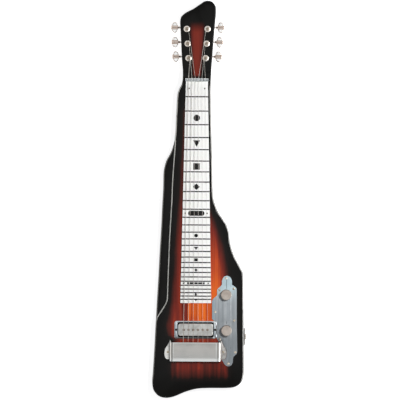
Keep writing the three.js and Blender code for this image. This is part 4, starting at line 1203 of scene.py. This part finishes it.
# %% [markdown]
# ## Nut, bridge plate and saddle
# The nut is a plated bar whose top is rounded over so that the strings bend gently. The bridge
# plate is a folded sheet with slots that hold the ball ends. A bevel on every edge keeps the
# metal from looking cut out of paper.


# %% Nut, a bar with the same section all the way along X
def bar_along_x(name, section, half):
    return loft(name, [[(x, y, z) for y, z in section] for x in (-half, half)])


def string_x(string, spacing):
    return (string - (string_count - 1) / 2) * spacing


nut_depth = 6.6
nut_back = scale_length + nut_depth
nut_section = softened([
    (scale_length, face + fit), (nut_back, face + fit), (nut_back, string_seat + 0.6),
    (scale_length + 4.2, string_seat + 1.8), (scale_length, string_seat + 1.8),
], 1.1, 4)
nut = bar_along_x("nut_bar", nut_section, board_nut_half + 0.9)
notches = []
for string, diameter in enumerate(string_diameters):
    x = string_x(string, nut_spacing)
    wide = diameter / 2 + 0.4
    notches.append(box(x - wide, x + wide, scale_length - 2, nut_back + 2, string_seat, string_seat + 4))
combine(nut, notches)
soft_edges(nut, 0.18, angle=40)
finished(nut, "root", plated_nut, ["nut"])


# %% Bridge plate, a fine copy of the plain solid with its edges broken
def from_solid(node, name, width):
    made = add_object(name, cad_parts[node].data.copy())
    with opened(made) as work:
        bmesh.ops.remove_doubles(work, verts=work.verts, dist=same_point)
        bmesh.ops.dissolve_limit(work, angle_limit=math.radians(1), verts=work.verts, edges=work.edges)
    return soft_edges(made, width)


finished(from_solid("bridge_plate", "bridge_fold", 0.25), "root", bright_chrome, ["bridge_plate"])

# %% Bridge saddle, a bar with a round top
saddle_radius = 3
saddle_low, saddle_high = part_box("bridge_saddle")
saddle_section = [(-saddle_radius, saddle_low.z / MM), (saddle_radius, saddle_low.z / MM)]
for i in range(25):
    angle = i / 24 * math.pi
    crest = string_seat - saddle_radius + saddle_radius * math.sin(angle) - fit / 2
    saddle_section.append((saddle_radius * math.cos(angle), crest))
saddle = bar_along_x("saddle_bar", saddle_section, saddle_high.x / MM)
soft_edges(saddle, 0.3, angle=50)
finished(saddle, "root", bright_chrome, ["bridge_saddle"])

# %% [markdown]
# ## Bridge cover
# One sheet is bent down at both sides and ends in flat ears with a screw each. The bend's
# section is run along the strings and a plan shape with rounded ears is cut out of it, which
# is how such a cover is blanked and folded.

# %% Plan of the bent sheet
cover_half = 54.9
cover_front = 24
cover_back = 16.5
cover_sheet = 1.5
cover_bend = 5
cover_ear = 11.6
ear_front = 28
ear_back = 13.7
ear_shares = [(0, 0), (0.34, 0.21), (0.82, 0.42), (1, 0.6), (0.98, 0.79), (0.7, 0.96), (0, 1)]


def cover_plan(margin):
    wall = cover_half - cover_sheet - margin
    length = ear_front + ear_back
    curve = smoothed([
        (cover_half + out * cover_ear + margin, ear_front - along * length + margin * (1 - 2 * along))
        for out, along in ear_shares
    ], closed=False)
    back = [(-cover_half - margin, -cover_back - margin), (cover_half + margin, -cover_back - margin)]
    front = [(wall, ear_front + margin), (wall, cover_front + margin)]
    mirrored = [(-x, y) for x, y in front[::-1] + curve]
    return back + curve[::-1] + front + mirrored


print("plan of the cover:", len(cover_plan(0)), "points")

# %% Section of the bend, run along the strings
cover_top = string_seat + string_diameters[0] + 8 + cover_sheet


def bend_arc(centre, radius, start, end, steps=14):
    angles = [start + (end - start) * i / steps for i in range(steps + 1)]
    level = cover_top - cover_bend
    return [(centre + radius * math.cos(a), level + radius * math.sin(a)) for a in angles]


foot = face + fit
ear_top = foot + cover_sheet
far = cover_half + cover_ear + 2
bend = cover_half - cover_bend
wall = cover_half - cover_sheet
inner_bend = cover_bend - cover_sheet
quarter = math.pi / 2
cover_section = (
    [(wall, foot), (far, foot), (far, ear_top), (cover_half, ear_top)]
    + bend_arc(bend, cover_bend, 0, quarter) + bend_arc(-bend, cover_bend, quarter, math.pi)
    + [(-cover_half, ear_top), (-far, ear_top), (-far, foot), (-wall, foot)]
    + bend_arc(-bend, inner_bend, math.pi, quarter) + bend_arc(bend, inner_bend, quarter, 0)
)
ends = (-cover_back - 2, ear_front + 2)
cover = loft("bridge_cover_sheet", [[(x, y, z) for x, z in cover_section] for y in ends])
combine(cover, [slab("cover plan", cover_plan(0), 0, cover_top + 2)], "INTERSECT")
soft_edges(cover, 0.3, 3, 40)
finished(cover, "root", satin_cover, ["bridge_cover"])

# %% [markdown]
# ## Pickup
# A polished ring stands round the pickup with a dark gap inside it. The satin cover has six
# holes, and in each of them the slotted head of a pole screw shows.


# %% Pickup ring
def on_pickup(length, width, corner, steps=10):
    """A rounded rectangle round the pickup's middle."""
    return rounded_rectangle(length, width, corner, steps, (0, pickup_place))


window_length = 2 * ring_half - 2 * 6.85
window_width = ring_width - 2 * 2.7
ring_top = face + fit + 3.5
ring = slab("pickup_frame", on_pickup(2 * ring_half, ring_width, 5), face + fit, ring_top, 1.1, 0.1)
combine(ring, [slab("window", on_pickup(window_length, window_width, 4), face - 1, ring_top + 1)])
soft_edges(ring, 0.45, 3, 50)
finished(ring, "root", ring_chrome, ["pickup_ring"])

# %% Pickup cover with six holes
pickup_length = window_length - 2 * 1.55
pickup_width = window_width - 2 * 3.2
pickup_wall = 0.8
pickup_top = string_seat - 3.4
pole_spacing = (pickup_length - 2 * 11.6) / (string_count - 1)
cover_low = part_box("pickup_cover")[0].z / MM
shell = slab("pickup_shell", on_pickup(pickup_length, pickup_width, 4.6), cover_low, pickup_top, 1.5, 0)
room = on_pickup(pickup_length - 2 * pickup_wall, pickup_width - 2 * pickup_wall, 3.4, 8)
holes = [
    drill(string_x(string, pole_spacing), pickup_place, 2.6, pickup_top - 3, pickup_top + 2)
    for string in range(string_count)
]
combine(shell, [slab("inside", room, cover_low - 1, pickup_top - pickup_wall)] + holes)
finished(shell, "root", satin_pickup, ["pickup_cover"])

# %% Pole screws on their keeper, and the coil
pole_box = [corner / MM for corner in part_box("pickup_poles")]
keeper_top = pole_box[0].z + 3
pole_top = pole_box[1].z
keeper = box(pole_box[0].x, pole_box[1].x, pole_box[0].y, pole_box[1].y, pole_box[0].z, keeper_top)
poles = [soft_edges(keeper, 0.3)]
for string, turn in enumerate((17, -32, 64, -8, 41, -55)):
    x = string_x(string, pole_spacing)
    pole = turned("pole", [
        (0, keeper_top + 0.1), (2.1, keeper_top + 0.1), (2.1, pole_top - 1.7), (2.3, pole_top - 1.6),
        (2.3, pole_top - 0.5), (2.1, pole_top - 0.2), (1.6, pole_top), (0, pole_top),
    ], 28, (x, pickup_place, 0))
    slot = box(-3, 3, -0.35, 0.35, pole_top - 0.6, pole_top + 1)
    moved(slot, Matrix.Rotation(math.radians(turn), 4, "Z"))
    poles.append(combine(pole, [moved(slot, shift(x, pickup_place, 0))]))
finished(join("pole_screws", poles), "root", pole_steel, ["pickup_poles"])
finished(from_solid("pickup_coil", "wound_coil", 0.3), "root", coil_tape, ["pickup_coil"])

# %% [markdown]
# ## Screws
# All the small screws have the same slotted dome head. One screw is modelled, and Geometry
# Nodes stands a copy of it on each given point and turns each one by its own chance angle,
# since no two screws of a real instrument stop in line.


# %% A slotted screw
def slotted_screw(length, radius=2.6, height=1.3, sides=36):
    screw = turned("screw", [
        (0, -length), (0.3, -length), (1.2, -length + 2.6), (1.2, -0.1), (radius - 0.1, -0.1), (radius, 0.05),
        (radius, 0.3), (radius * 0.93, height * 0.55), (radius * 0.75, height * 0.8),
        (radius * 0.45, height * 0.95), (0, height),
    ], sides)
    return combine(screw, [box(-radius - 1, radius + 1, -0.36, 0.36, height * 0.4, height + 1)])


# %% The tree that stands screws on points
most_turn = 3.1
stand_tree = node_tree("stand screws", {"Screw": "Object", "Seed": "Int", "Most Turn": "Float"})
one_screw = given(stand_tree, "Screw")
pattern = stand_tree.add("GeometryNodeObjectInfo", None, {"Object": one_screw}, out="Geometry")
chance = stand_tree.add("FunctionNodeRandomValue", {"data_type": "FLOAT"}, {
    "Max": given(stand_tree, "Most Turn"), "Seed": given(stand_tree, "Seed"),
}, out=1)
turns = stand_tree.add("ShaderNodeCombineXYZ", None, {0: 0.0, 1: 0.0, 2: chance})
copies = stand_tree.add("GeometryNodeInstanceOnPoints", None, {
    "Points": given(stand_tree, "Geometry"), "Instance": pattern, "Rotation": turns,
})
finish_tree(stand_tree, copies, screw_nickel)


def stand_screws(name, places, screw, seed, finish=screw_nickel, nodes=()):
    made = mesh_object(name, places, [])
    grow(made, stand_tree, {"Screw": screw, "Seed": seed, "Most Turn": most_turn})
    bpy.data.objects.remove(screw)
    return finished(made, "root", finish, nodes)


# %% Screws of the control plate, the cover, the ring and the fingerboard
plate_top = face + fit + 1.6
plate_screw_places = [
    (64.9, 161.6), (50.6, 135.9), (81.5, 139.1), (41.69, 88.78), (82.9, 70.7), (85.59, 2.38), (70.7, -22.0),
    (51.9, 30.4),
]
stand_screws(
    "plate_screws", [(x, y, plate_top + fit) for x, y in plate_screw_places], slotted_screw(12.9), 4,
    nodes=[f"control_plate_screw_{i}" for i in range(1, 9)])
stand_screws(
    "cover_screws", [(x, 2.6, ear_top + fit) for x in (-59.5, 59.5)], slotted_screw(12.8), 9,
    nodes=["bridge_cover_screw_bass", "bridge_cover_screw_treble"])
stand_screws(
    "ring_screws", [(x, pickup_place, ring_top + fit) for x in (-42, 42)], slotted_screw(30.8), 2, dark_steel,
    ["pickup_screw_bass", "pickup_screw_treble"])
board_screw_places = [(side * x, y) for x, y in ((17, 569), (23.2, 300.7), (26.7, 150.4)) for side in (-1, 1)]
stand_screws(
    "board_screws", [(x, y, board_top) for x, y in board_screw_places], slotted_screw(2.5, 1.7, 0.5, 24), 6,
    dark_steel)

# %% [markdown]
# ## Control plate, knobs and jack
# The plate follows the treble edge of the body and is cut round the pickup ring and the cover's
# ear. The two knobs are knurled barrels that each turn on their own shaft.

# %% Control plate
plate_shares = [
    (0.382, 0.9), (0.382, 0.9435), (0.42, 0.975), (0.5, 0.995), (0.579, 1), (0.658, 0.995), (0.738, 0.975),
    (0.776, 0.944), (0.778, 0.9), (0.912, 0.877), (0.955, 0.86), (0.967, 0.842), (0.976, 0.486), (1, 0.1695),
    (0.989, 0.141), (0.9266, 0.124), (0.851, 0.106), (0.831, 0.0776), (0.827, 0.045), (0.78, 0.014),
    (0.7, 0.001), (0.6, 0.001), (0.52, 0.014), (0.462, 0.0416), (0.4055, 0.066), (0.28, 0.1), (0.28, 0.267),
    (0.21, 0.3), (0.16, 0.32), (0.16, 0.482), (0.005, 0.52), (0, 0.71), (0.033, 0.742), (0.12, 0.764),
    (0.2, 0.781), (0.191, 0.817), (0.195, 0.841), (0.233, 0.859), (0.319, 0.88),
]
plate_outline = softened([
    (plate_left + x * (plate_right - plate_left), y * plate_length - plate_tail) for x, y in plate_shares
], 1.6)
plate = slab("control_sheet", plate_outline, face + fit, plate_top)
below = face - 1
over = plate_top + 1
cutters = [
    slab("ring room", on_pickup(2 * ring_half + 0.6, ring_width + 0.6, 5.3), below, over),
    slab("cover room", cover_plan(0.6), below, over),
]
cutters += [drill(x, y, 1.6, below, over, 24) for x, y in plate_screw_places]
cutters += [drill(x, y, 5, below, over) for x, y in pot_places]
combine(plate, cutters)
soft_edges(plate, 0.28, angle=40)
finished(plate, "root", brushed_plate, ["control_plate"])

# %% A painted mark above each knob
mark_half = 0.35
marks = [
    box(x - mark_half, x + mark_half, y - length / 2, y + length / 2, plate_top - 0.2, plate_top + 0.02)
    for x, y, length in ((66.1, 148.5, 20), (66.5, 66, 6))
]
finished(join("knob_marks", marks), "root", black_ink)

# %% Knobs and the controls under them
knob_radius = 11.3
skirt = plate_top - face + 1.3
knob_top = skirt + 18
washer = plate_top - face + fit
ceiling = washer + 4.6 + 2 * fit
knurl_depth = 0.3
for use, (x, y) in zip(("volume", "tone"), pot_places):
    knob = turned(f"{use}_barrel", [
        (0, -8.4), (2.9, -8.4), (3, -8.2), (3, ceiling), (8.3, ceiling), (8.3, skirt + 0.2), (8.5, skirt),
        (11.0, skirt), (knob_radius, skirt + 0.3), (knob_radius, skirt + 2),
        (knob_radius, skirt + 2.3, knurl_depth), (knob_radius, knob_top - 2.9, knurl_depth),
        (knob_radius, knob_top - 2.6), (knob_radius, knob_top - 0.7), (11.2, knob_top - 0.35),
        (11, knob_top - 0.12), (10.7, knob_top), (8, knob_top - 0.05), (4, knob_top - 0.1),
        (0, knob_top - 0.12),
    ], 168, (x, y, face))
    finished(knob, f"{use}_knob", warm_nickel, [f"{use}_knob"], angle=40)
    pot = turned(f"{use}_control", [
        (0, -10), (11.4, -10), (11.9, -9.6), (12, -9), (12, -0.5), (11.6, -0.1), (4.7, 0), (4.7, washer),
        (6.9, washer), (7, washer + 0.2), (7, washer + 1.9), (6.6, washer + 2.2), (4.6, washer + 2.3),
        (4.6, washer + 4.4), (4.4, washer + 4.6), (3.3, washer + 4.6), (3.3, -8.7), (0, -8.7),
    ], 48, (x, y, face))
    finished(pot, "root", zinc, [f"{use}_pot"])

# %% Output jack in the treble side
jack_sheet = 2.2
oval = [(10 * math.cos(angle), 19 * math.sin(angle)) for angle in spin(96)]
jack_plate = slab("jack_oval", oval, 0, jack_sheet, 0.8, 0.1)
combine(jack_plate, [drill(0, 0, 5, -1, jack_sheet + 1, 48)])
jack_body = tube("jack_sleeve", [
    (3.3, -22), (8, -22), (8, -0.3), (4.7, -0.3), (4.7, jack_sheet + 3.2), (3.3, jack_sheet + 3.2),
], 0.35)
jack_nut = tube("jack_ring_nut", [
    (5, jack_sheet + 0.3), (7, jack_sheet + 0.3), (7, jack_sheet + 2.9), (5, jack_sheet + 2.9),
], 0.5)
heads = []
for side in (-1, 1):
    head = moved(slotted_screw(2, 1.9, 0.8, 28), Matrix.Rotation(0.6 + side, 4, "Z"))
    heads.append(moved(head, shift(0, 14.2 * side, jack_sheet)))
jack_screws = join("jack_screws", heads)
for made, finish, slot, nodes in (
    (jack_plate, zinc, "chrome", ["jack_plate"]),
    (jack_body, zinc, "chrome", ["output_jack"]),
    (jack_nut, bushing_nickel, "chrome", ["jack_nut"]),
    (jack_screws, screw_nickel, "screws", ()),
):
    moved(along_x(made), shift(jack_face + fit, jack_place, jack_height))
    finished(made, "root", finish, nodes)

# %% [markdown]
# ## Tuners
# Behind the headstock each tuner has a housing with a worm and a wheel. Turning the button turns
# the worm, which drives the wheel on the post by one tooth per turn. The button, the worm and
# the shaft are one piece; the wheel and the post are another.

# %% Sizes of a tuner
housing_height = 12
worm_height = -6.5
gear_distance = 4.6
wheel_teeth = 14
thread_pitch = 1.35
thread_height = 0.85
worm_core = 1.05
worm_length = 3
wheel_half = 1.1
wheel_tip = gear_distance - worm_core - fit
wheel_root = wheel_tip - thread_height
shaft_radius = 3
waist_radius = 2.5
waist_length = 7.4
post_crown = 2
waist_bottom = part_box("tuner_1_post")[1].z / MM - post_crown - waist_length
waist_top = waist_bottom + waist_length
print("string winds between", round(waist_bottom, 1), "and", round(waist_top, 1), "mm")


# %% Wheel with slanted teeth
def wheel():
    rolling = thread_pitch * wheel_teeth / (2 * math.pi)
    lean = thread_pitch / (2 * math.pi * (gear_distance - rolling)) / rolling
    tooth = [(wheel_root, -0.52), (wheel_tip - 0.12, -0.33), (wheel_tip, -0.2), (wheel_tip, 0.2),
             (wheel_tip - 0.12, 0.33), (wheel_root, 0.52)]
    rings = []
    for layer in range(5):
        height = layer * wheel_half / 2 - wheel_half
        ring = []
        for i in range(wheel_teeth):
            centre = math.pi / 2 + 2 * math.pi * (i + 0.5) / wheel_teeth
            for radius, width in tooth:
                angle = centre + width / radius + lean * height
                ring.append((radius * math.cos(angle), radius * math.sin(angle), worm_height + height))
        rings.append(ring)
    return loft("wheel", rings)


# %% Post with its waist for the string and a hole through it
def post():
    bottom = -housing_height + 2.3
    top = waist_top + post_crown - head_back
    journal = worm_height + wheel_half + 0.6
    pivot = wheel_root - 0.3
    low = waist_bottom - head_back
    high = waist_top - head_back
    made = turned("post", [
        (0, bottom), (pivot - 0.1, bottom), (pivot, bottom + 0.2), (pivot, journal), (2.9, journal),
        (shaft_radius, journal + 0.1), (shaft_radius, low - 0.3), (2.85, low), (2.6, low + 0.5),
        (waist_radius, low + 1.2), (waist_radius, high - 1.2), (2.6, high - 0.5), (2.85, high - 0.1),
        (shaft_radius, high + 0.2), (shaft_radius, top - 0.6), (2.85, top - 0.25), (2.5, top), (0.9, top),
        (0.7, top - 0.3), (0, top - 0.3),
    ], 40)
    hole = along_x(turned("string hole", [(0, -5), (0.9, -5), (0.9, 5), (0, 5)], 20))
    combine(made, [moved(hole, shift(0, 0, high - 2))])
    return combine(made, [wheel()], "UNION")


# %% Bushing and housing
def bushing():
    low = head_face - head_back - 7.5
    seat = head_face - head_back + fit
    top = seat + 1.9
    return tube("bushing", [
        (3.3, low), (4.9, low), (4.9, seat), (6.7, seat), (6.7, seat + 0.55), (5.2, top - 0.35), (4.9, top),
        (3.3, top),
    ], 0.25)


case_inwards = 7
case_outwards = 8
case_up = 8.8
case_length = case_up + 5.6
case_wall = 2
gear_room = 0.45


def housing(side):
    x0, x1 = sorted((-side * case_inwards, side * case_outwards))
    plan = rounded_rectangle(x1 - x0, case_length, 1.2, 5, ((x0 + x1) / 2, case_up - case_length / 2))
    shell = slab("housing", plan, -housing_height, -fit, 0.8, 0.8)
    pocket = drill(0, 0, wheel_tip + gear_room, case_wall - housing_height, 2, 48)
    bore = drill(0, 0, worm_core + thread_height + gear_room, -2.1, 12)
    moved(along_x(bore, side), shift(0, gear_distance, worm_height))
    combine(shell, [pocket, bore])
    screw = slotted_screw(0.6, 2.2, 0.7, 28)
    moved(screw, Matrix.Rotation(math.pi, 4, "X") @ Matrix.Rotation(0.7, 4, "Z"))
    moved(screw, shift(0, 0, -housing_height + 0.1))
    return join("housing", [shell, screw])


# %% Thread of the worm
def thread():
    around = 24
    count = math.ceil((worm_length / thread_pitch - 0.5) * around)
    section = [
        (worm_core - fit, -0.28), (worm_core + thread_height, -0.18), (worm_core + thread_height, 0.18),
        (worm_core - fit, 0.28),
    ]
    rings = []
    for i in range(count + 1):
        angle = 2 * math.pi * (i - count / 2) / around
        x = thread_pitch * angle / (2 * math.pi)
        spoke = Vector((0, -math.cos(angle), -math.sin(angle)))
        rings.append([spoke * radius + Vector((x + wide, 0, 0)) for radius, wide in section])
    return loft("thread", rings)


# %% Marks of tarnish and painted shade, which the finish of the button reads
button_width = 14.5
button_sides = 72


def mark(made, values):
    """Stores how dark each point is painted: tarnish, and painted shade on rims and sides."""
    stored = made.data.attributes.new("tarnish", "FLOAT", "POINT")
    stored.data.foreach_set("value", values)
    return made


# %% Wing of the button, a flat oval whose rounded rim is marked darker: tarnish and painted shade
def wing(side, reach):
    half_width = 6.4
    half_length = 11.75
    thinnest = 0.12
    shape = [(0.02, 0), (0.3, 0), (0.6, 0), (0.84, 0), (0.89, 0.3), (0.94, 0.75), (0.98, 1), (1.0, 1)]
    rings = []
    rims = []
    for up, half in ((1, shape), (-1, shape[::-1])):
        for share, tarnish in half:
            thick = thinnest if share == 1.0 else 0.3 + min(1, (1.0 - share) * 8)
            rings.append([
                (half_width * share * math.cos(angle), half_length * share * math.sin(angle), up * thick)
                for angle in spin(button_sides)
            ])
            rims += [tarnish] * button_sides
    return moved(mark(loft("wing", rings), rims), shift(side * (reach + button_width / 2), 0, 0))


# %% Hub, a barrel across the wing with grooves along it
def hub(side, reach):
    profile = [
        (0.0, 0.5), (0.25, 0.82), (0.8, 0.97), (1.4, 1.0), (7.25, 1.0), (13.1, 1.0), (13.9, 0.97),
        (14.6, 0.84), (15.1, 0.5),
    ]
    groove_depth = 0.34
    rings = []
    darks = []
    for place, size in profile:
        ring = []
        for k, angle in enumerate(spin(button_sides)):
            groove = groove_depth if k % 9 in (0, 1) and 0.9 < size else 0
            y = (4.3 * size - groove) * math.cos(angle)
            z = (3.2 * size - groove) * math.sin(angle)
            ring.append((side * (reach + place), y, z))
            # Grooves are marked as tarnish; the barrel's front and back sides are marked darker as painted
            # shade.
            darks.append(0.7 if groove else 0.3 + 0.5 * max(0, abs(math.cos(angle)) - 0.5) / 0.4)
        rings.append(ring)
    return mark(loft("hub", rings), darks)


# %% Button: shaft, worm, wing and hub in one
def button(side, reach):
    shaft = along_x(turned("shaft", [
        (0, -1.5), (worm_core, -1.5), (worm_core, 1.8), (1.9, 1.8), (1.9, reach - 3.6), (2.5, reach - 3.4),
        (2.6, reach - 3), (2.6, reach - 1.2), (1.7, reach - 0.6), (1.7, reach + 0.4), (0, reach + 0.4),
    ], 32), side)
    dark_from = (reach - 1.4) * MM
    mark(shaft, [1.0 if abs(point.co.x) > dark_from else 0.1 for point in shaft.data.vertices])
    worm = thread()
    mark(worm, [0.3] * len(worm.data.vertices))
    return join("button", [shaft, worm, wing(side, reach), hub(side, reach)])


# %% Six tuners
hub_spare = 0.8
for number, (x, y) in enumerate(post_places, 1):
    side = 1 if x > 0 else -1
    outer = max(abs(corner.x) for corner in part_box(f"tuner_{number}_button")) / MM
    reach = outer - abs(x) - button_width - hub_spare
    stand = shift(x, y, head_back)
    worm_place = shift(x, y + gear_distance, head_back + worm_height)
    for part, name, place, finish, body_name, old in (
        (housing(side), "case", stand, tuner_nickel, "root", "housing"),
        (bushing(), "washer", stand, bushing_nickel, "root", "bushing"),
        (post(), "peg", stand, post_nickel, f"tuner_{number}_post", "post"),
        (button(side, reach), "key", worm_place, button_nickel, f"tuner_{number}_button", "button"),
    ):
        moved(part, place)
        part.name = f"tuner_{number}_{name}"
        part.data.name = part.name
        finished(part, body_name, finish, [f"tuner_{number}_{old}"])

# %% [markdown]
# ## Strings
# Each string leaves its ball end, rises over the saddle, runs straight to the nut and winds
# onto its post. The path is one list of points; a round section is carried along it without
# twisting, and the length so far is stored so that the wrap of a wound string follows it.


# %% A wire along a path
def eased(path, reach, steps=5):
    """Corners of a path in space rounded off."""
    made = [path[0]]
    for before, corner, after in zip(path, path[1:], path[2:]):
        start = corner + (before - corner).normalized() * min(reach, (before - corner).length * most_of_side)
        end = corner + (after - corner).normalized() * min(reach, (after - corner).length * most_of_side)
        made += bend_points(start, corner, end, steps)
    return made + [path[-1]]


def wire(name, path, radius, sides=12):
    rings = []
    lengths = []
    along = 0.0
    across = Vector((1, 0, 0))
    for i, point in enumerate(path):
        ahead = path[min(i + 1, len(path) - 1)] - path[max(i - 1, 0)]
        ahead.normalize()
        across = (across - ahead * across.dot(ahead)).normalized()
        up = ahead.cross(across)
        along += (point - path[i - 1]).length if i else 0
        spokes = [across * math.cos(angle) + up * math.sin(angle) for angle in spin(sides)]
        rings.append([point + spoke * radius for spoke in spokes])
        lengths += [along] * sides
    made = loft(name, rings)
    stored = made.data.attributes.new("along", "FLOAT", "POINT")
    stored.data.foreach_set("value", lengths)
    return made


# %% Windings of a string round its post
winding_turns = [2, 2, 2.25, 2.5, 2.5, 2.5]
post_of_string = [0, 1, 2, 5, 4, 3]
loop_steps = 40
loop_gap = 0.48


def windings(string, diameter, start):
    """Points of the loops, which begin where a line from the nut touches the post's waist."""
    x, y = post_places[post_of_string[string]]
    side = 1 if x > 0 else -1
    radius = waist_radius + fit + diameter / 2
    pitch = diameter + loop_gap
    bottom = waist_bottom + (waist_length - winding_turns[string] * pitch) / 3
    heading = math.atan2(y - start.y, x - start.x)
    heading += side * math.asin(radius / math.hypot(x - start.x, y - start.y))
    first = heading + side * math.pi / 2
    loops = []
    for i in range(round(winding_turns[string] * loop_steps) + 1):
        turn = i / loop_steps
        angle = first - side * turn * 2 * math.pi
        spoke = (radius * math.cos(angle), radius * math.sin(angle))
        loops.append(Vector((x + spoke[0], y + spoke[1], bottom + turn * pitch)))
    return loops


print("gap between the loops:", loop_gap, "mm")

# %% Six strings and their ball ends
ball_height = string_seat - 3
wound_count = 3
balls = []
for string, diameter in enumerate(string_diameters):
    height = string_seat + fit + diameter / 2
    bridge_x = string_x(string, bridge_spacing)
    nut_x = string_x(string, nut_spacing)
    leaving_nut = Vector((nut_x, nut_back, height))
    loops = windings(string, diameter, leaving_nut)
    tip = loops[-1] + (loops[-1] - loops[-2]).normalized() * diameter
    path = eased([
        Vector((bridge_x, -12.2, ball_height)), Vector((bridge_x, -9, ball_height)),
        Vector((bridge_x, 0, height)), Vector((nut_x, scale_length, height)), leaving_nut, loops[0],
    ], 1.2)[:-1] + loops + [tip]
    finish = wound_wire if string < wound_count else plain_wire
    made = wire(f"wire_{string + 1}", path, diameter / 2)
    finished(made, "root", finish, [f"string_{string + 1}"], angle=60)
    ball = along_x(turned("ball", [
        (0, -1.6), (1.6, -1.6), (1.9, -1.3), (1.9, -0.8), (1.3, -0.5), (1.3, 0.5), (1.9, 0.8), (1.9, 1.3),
        (1.6, 1.6), (0, 1.6),
    ], 28))
    balls.append(moved(ball, shift(bridge_x, -13.2, ball_height)))
finished(join("ball_ends", balls), "root", tuner_nickel)

# %% [markdown]
# ## Light and camera
# The guitar lies on a white sheet. One small bright lamp high at the upper right gives the short
# shadows to the lower left; no reflection shows it. A tall panel at the right does the opposite:
# it gives no light, but round metal edges mirror it as a bright line. The sheet and the world
# show pale to the camera and in reflections, while the light that they throw on the object
# stays at a plain level.


# %% White floor that keeps the object's shadow
def floor_recipe():
    made = bpy.data.materials.new("white sheet")
    made.use_nodes = True
    made.node_tree.nodes.clear()
    sheet = Sheet(made.node_tree)
    seen = sheet.outputs("ShaderNodeLightPath", "Is Camera Ray", "Is Glossy Ray", "Is Transmission Ray")
    glow = (seen[0] + seen[1] + seen[2]).held()
    grain = sheet.noise(8, detail=3.0)
    paper = sheet.add("ShaderNodeBsdfPrincipled", None, {
        "Base Color": sheet.mix(grain, (0.8, 0.8, 0.8), (0.83, 0.83, 0.83)), "Roughness": 0.9,
        "Specular IOR Level": 0.0,
        "Emission Color": sheet.mix(glow, (0, 0, 0), (0.84, 0.84, 0.84)), "Emission Strength": 1.0,
    })
    from_below = sheet.add("ShaderNodeNewGeometry", out="Backfacing")
    clear = sheet.add("ShaderNodeBsdfTransparent")
    shown = sheet.add("ShaderNodeMixShader", None, {0: from_below, 1: paper, 2: clear})
    sheet.add("ShaderNodeOutputMaterial", None, {"Surface": shown})
    return made


floor_half = 9000
floor_height = -0.3
corners = [(x * floor_half, y * floor_half, floor_height) for x, y in ((-1, -1), (1, -1), (1, 1), (-1, 1))]
floor = mesh_object("floor", corners, [(0, 1, 2, 3)])
floor.data.materials.append(floor_recipe())
floor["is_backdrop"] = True
print("floor of", 2 * floor_half, "mm")

# %% World: pale all round, with a dark ring near straight above that polished metal mirrors
world = bpy.data.worlds.new("studio")
bpy.context.scene.world = world
world.use_nodes = True
world.node_tree.nodes.clear()
sky = Sheet(world.node_tree)
upward = sky.split(sky.add("ShaderNodeTexCoord", out="Generated"))[2]
mirrored_sky = sky.ramp(upward.held(), [
    (0.0, (0.9, 0.9, 0.9)), (0.8, (0.86, 0.87, 0.88)), (0.913, (0.92, 0.93, 0.95)),
    (0.945, (0.14, 0.15, 0.16)), (0.978, (0.12, 0.13, 0.14)), (0.988, (0.88, 0.89, 0.9)),
    (1.0, (0.92, 0.93, 0.94)),
])
plain_light = (0.22, 0.22, 0.225)
rays = sky.outputs("ShaderNodeLightPath", "Is Camera Ray", "Is Glossy Ray")
level = sky.mix((rays[0] + rays[1]).held(), plain_light, mirrored_sky)
backdrop = sky.add("ShaderNodeBackground", None, {"Color": level, "Strength": 1.0})
sky.add("ShaderNodeOutputWorld", None, {"Surface": backdrop})
print("the world has", len(world.node_tree.nodes), "nodes")


# %% One lamp that reflections don't show, and one panel that only reflections show
def soft_lamp(name, place, aim, length, width, radiance, mirrored):
    light = bpy.data.lights.new(name, "AREA")
    light.shape = "RECTANGLE"
    light.size = width
    light.size_y = length
    light.energy = radiance * math.pi * length * width
    made = add_object(name, light)
    ahead = (Vector(aim) - Vector(place)).normalized()
    side = Vector((0, 1, 0)).cross(ahead).normalized()
    up = ahead.cross(side)
    turn = Matrix((side, up, -ahead)).transposed()
    made.matrix_world = Matrix.Translation(Vector(place)) @ turn.to_4x4()
    made.visible_diffuse = not mirrored
    made.visible_glossy = mirrored
    made.visible_camera = False
    print(name, "gives", round(light.energy, 1), "W")


soft_lamp("upper right lamp", (0.47, 0.44, 1.72), (0.05, 0.2, 0.04), 0.2, 0.2, 192.0, False)
soft_lamp("right panel", (1.5, 0.4, 0.95), (0.0, 0.33, 0.04), 2.2, 0.9, 4.5, True)

# %% Camera straight above
middle_x, middle_y = 0.00795, 0.3294
distance = 4.78
picture_turn = 0.00538
camera_data = bpy.data.cameras.new("camera")
camera_data.lens = 200
camera_data.sensor_width = 36
camera_data.clip_end = 50
camera = add_object("camera", camera_data)
camera.location = (middle_x, middle_y, face * MM + distance)
camera.rotation_euler = (0, 0, picture_turn)
bpy.context.scene.camera = camera
bpy.context.scene.view_settings.view_transform = "Standard"
print("camera sees", round(distance * camera_data.sensor_width / camera_data.lens / MM), "mm across")

# %% Sizes and the close
box_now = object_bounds()
sizes = {"cad": [list(v) for v in cad_box], "visual": [list(v) for v in box_now]}
for name, corners in sizes.items():
    print(name, "box in mm:", [[round(v / MM, 1) for v in corner] for corner in corners])
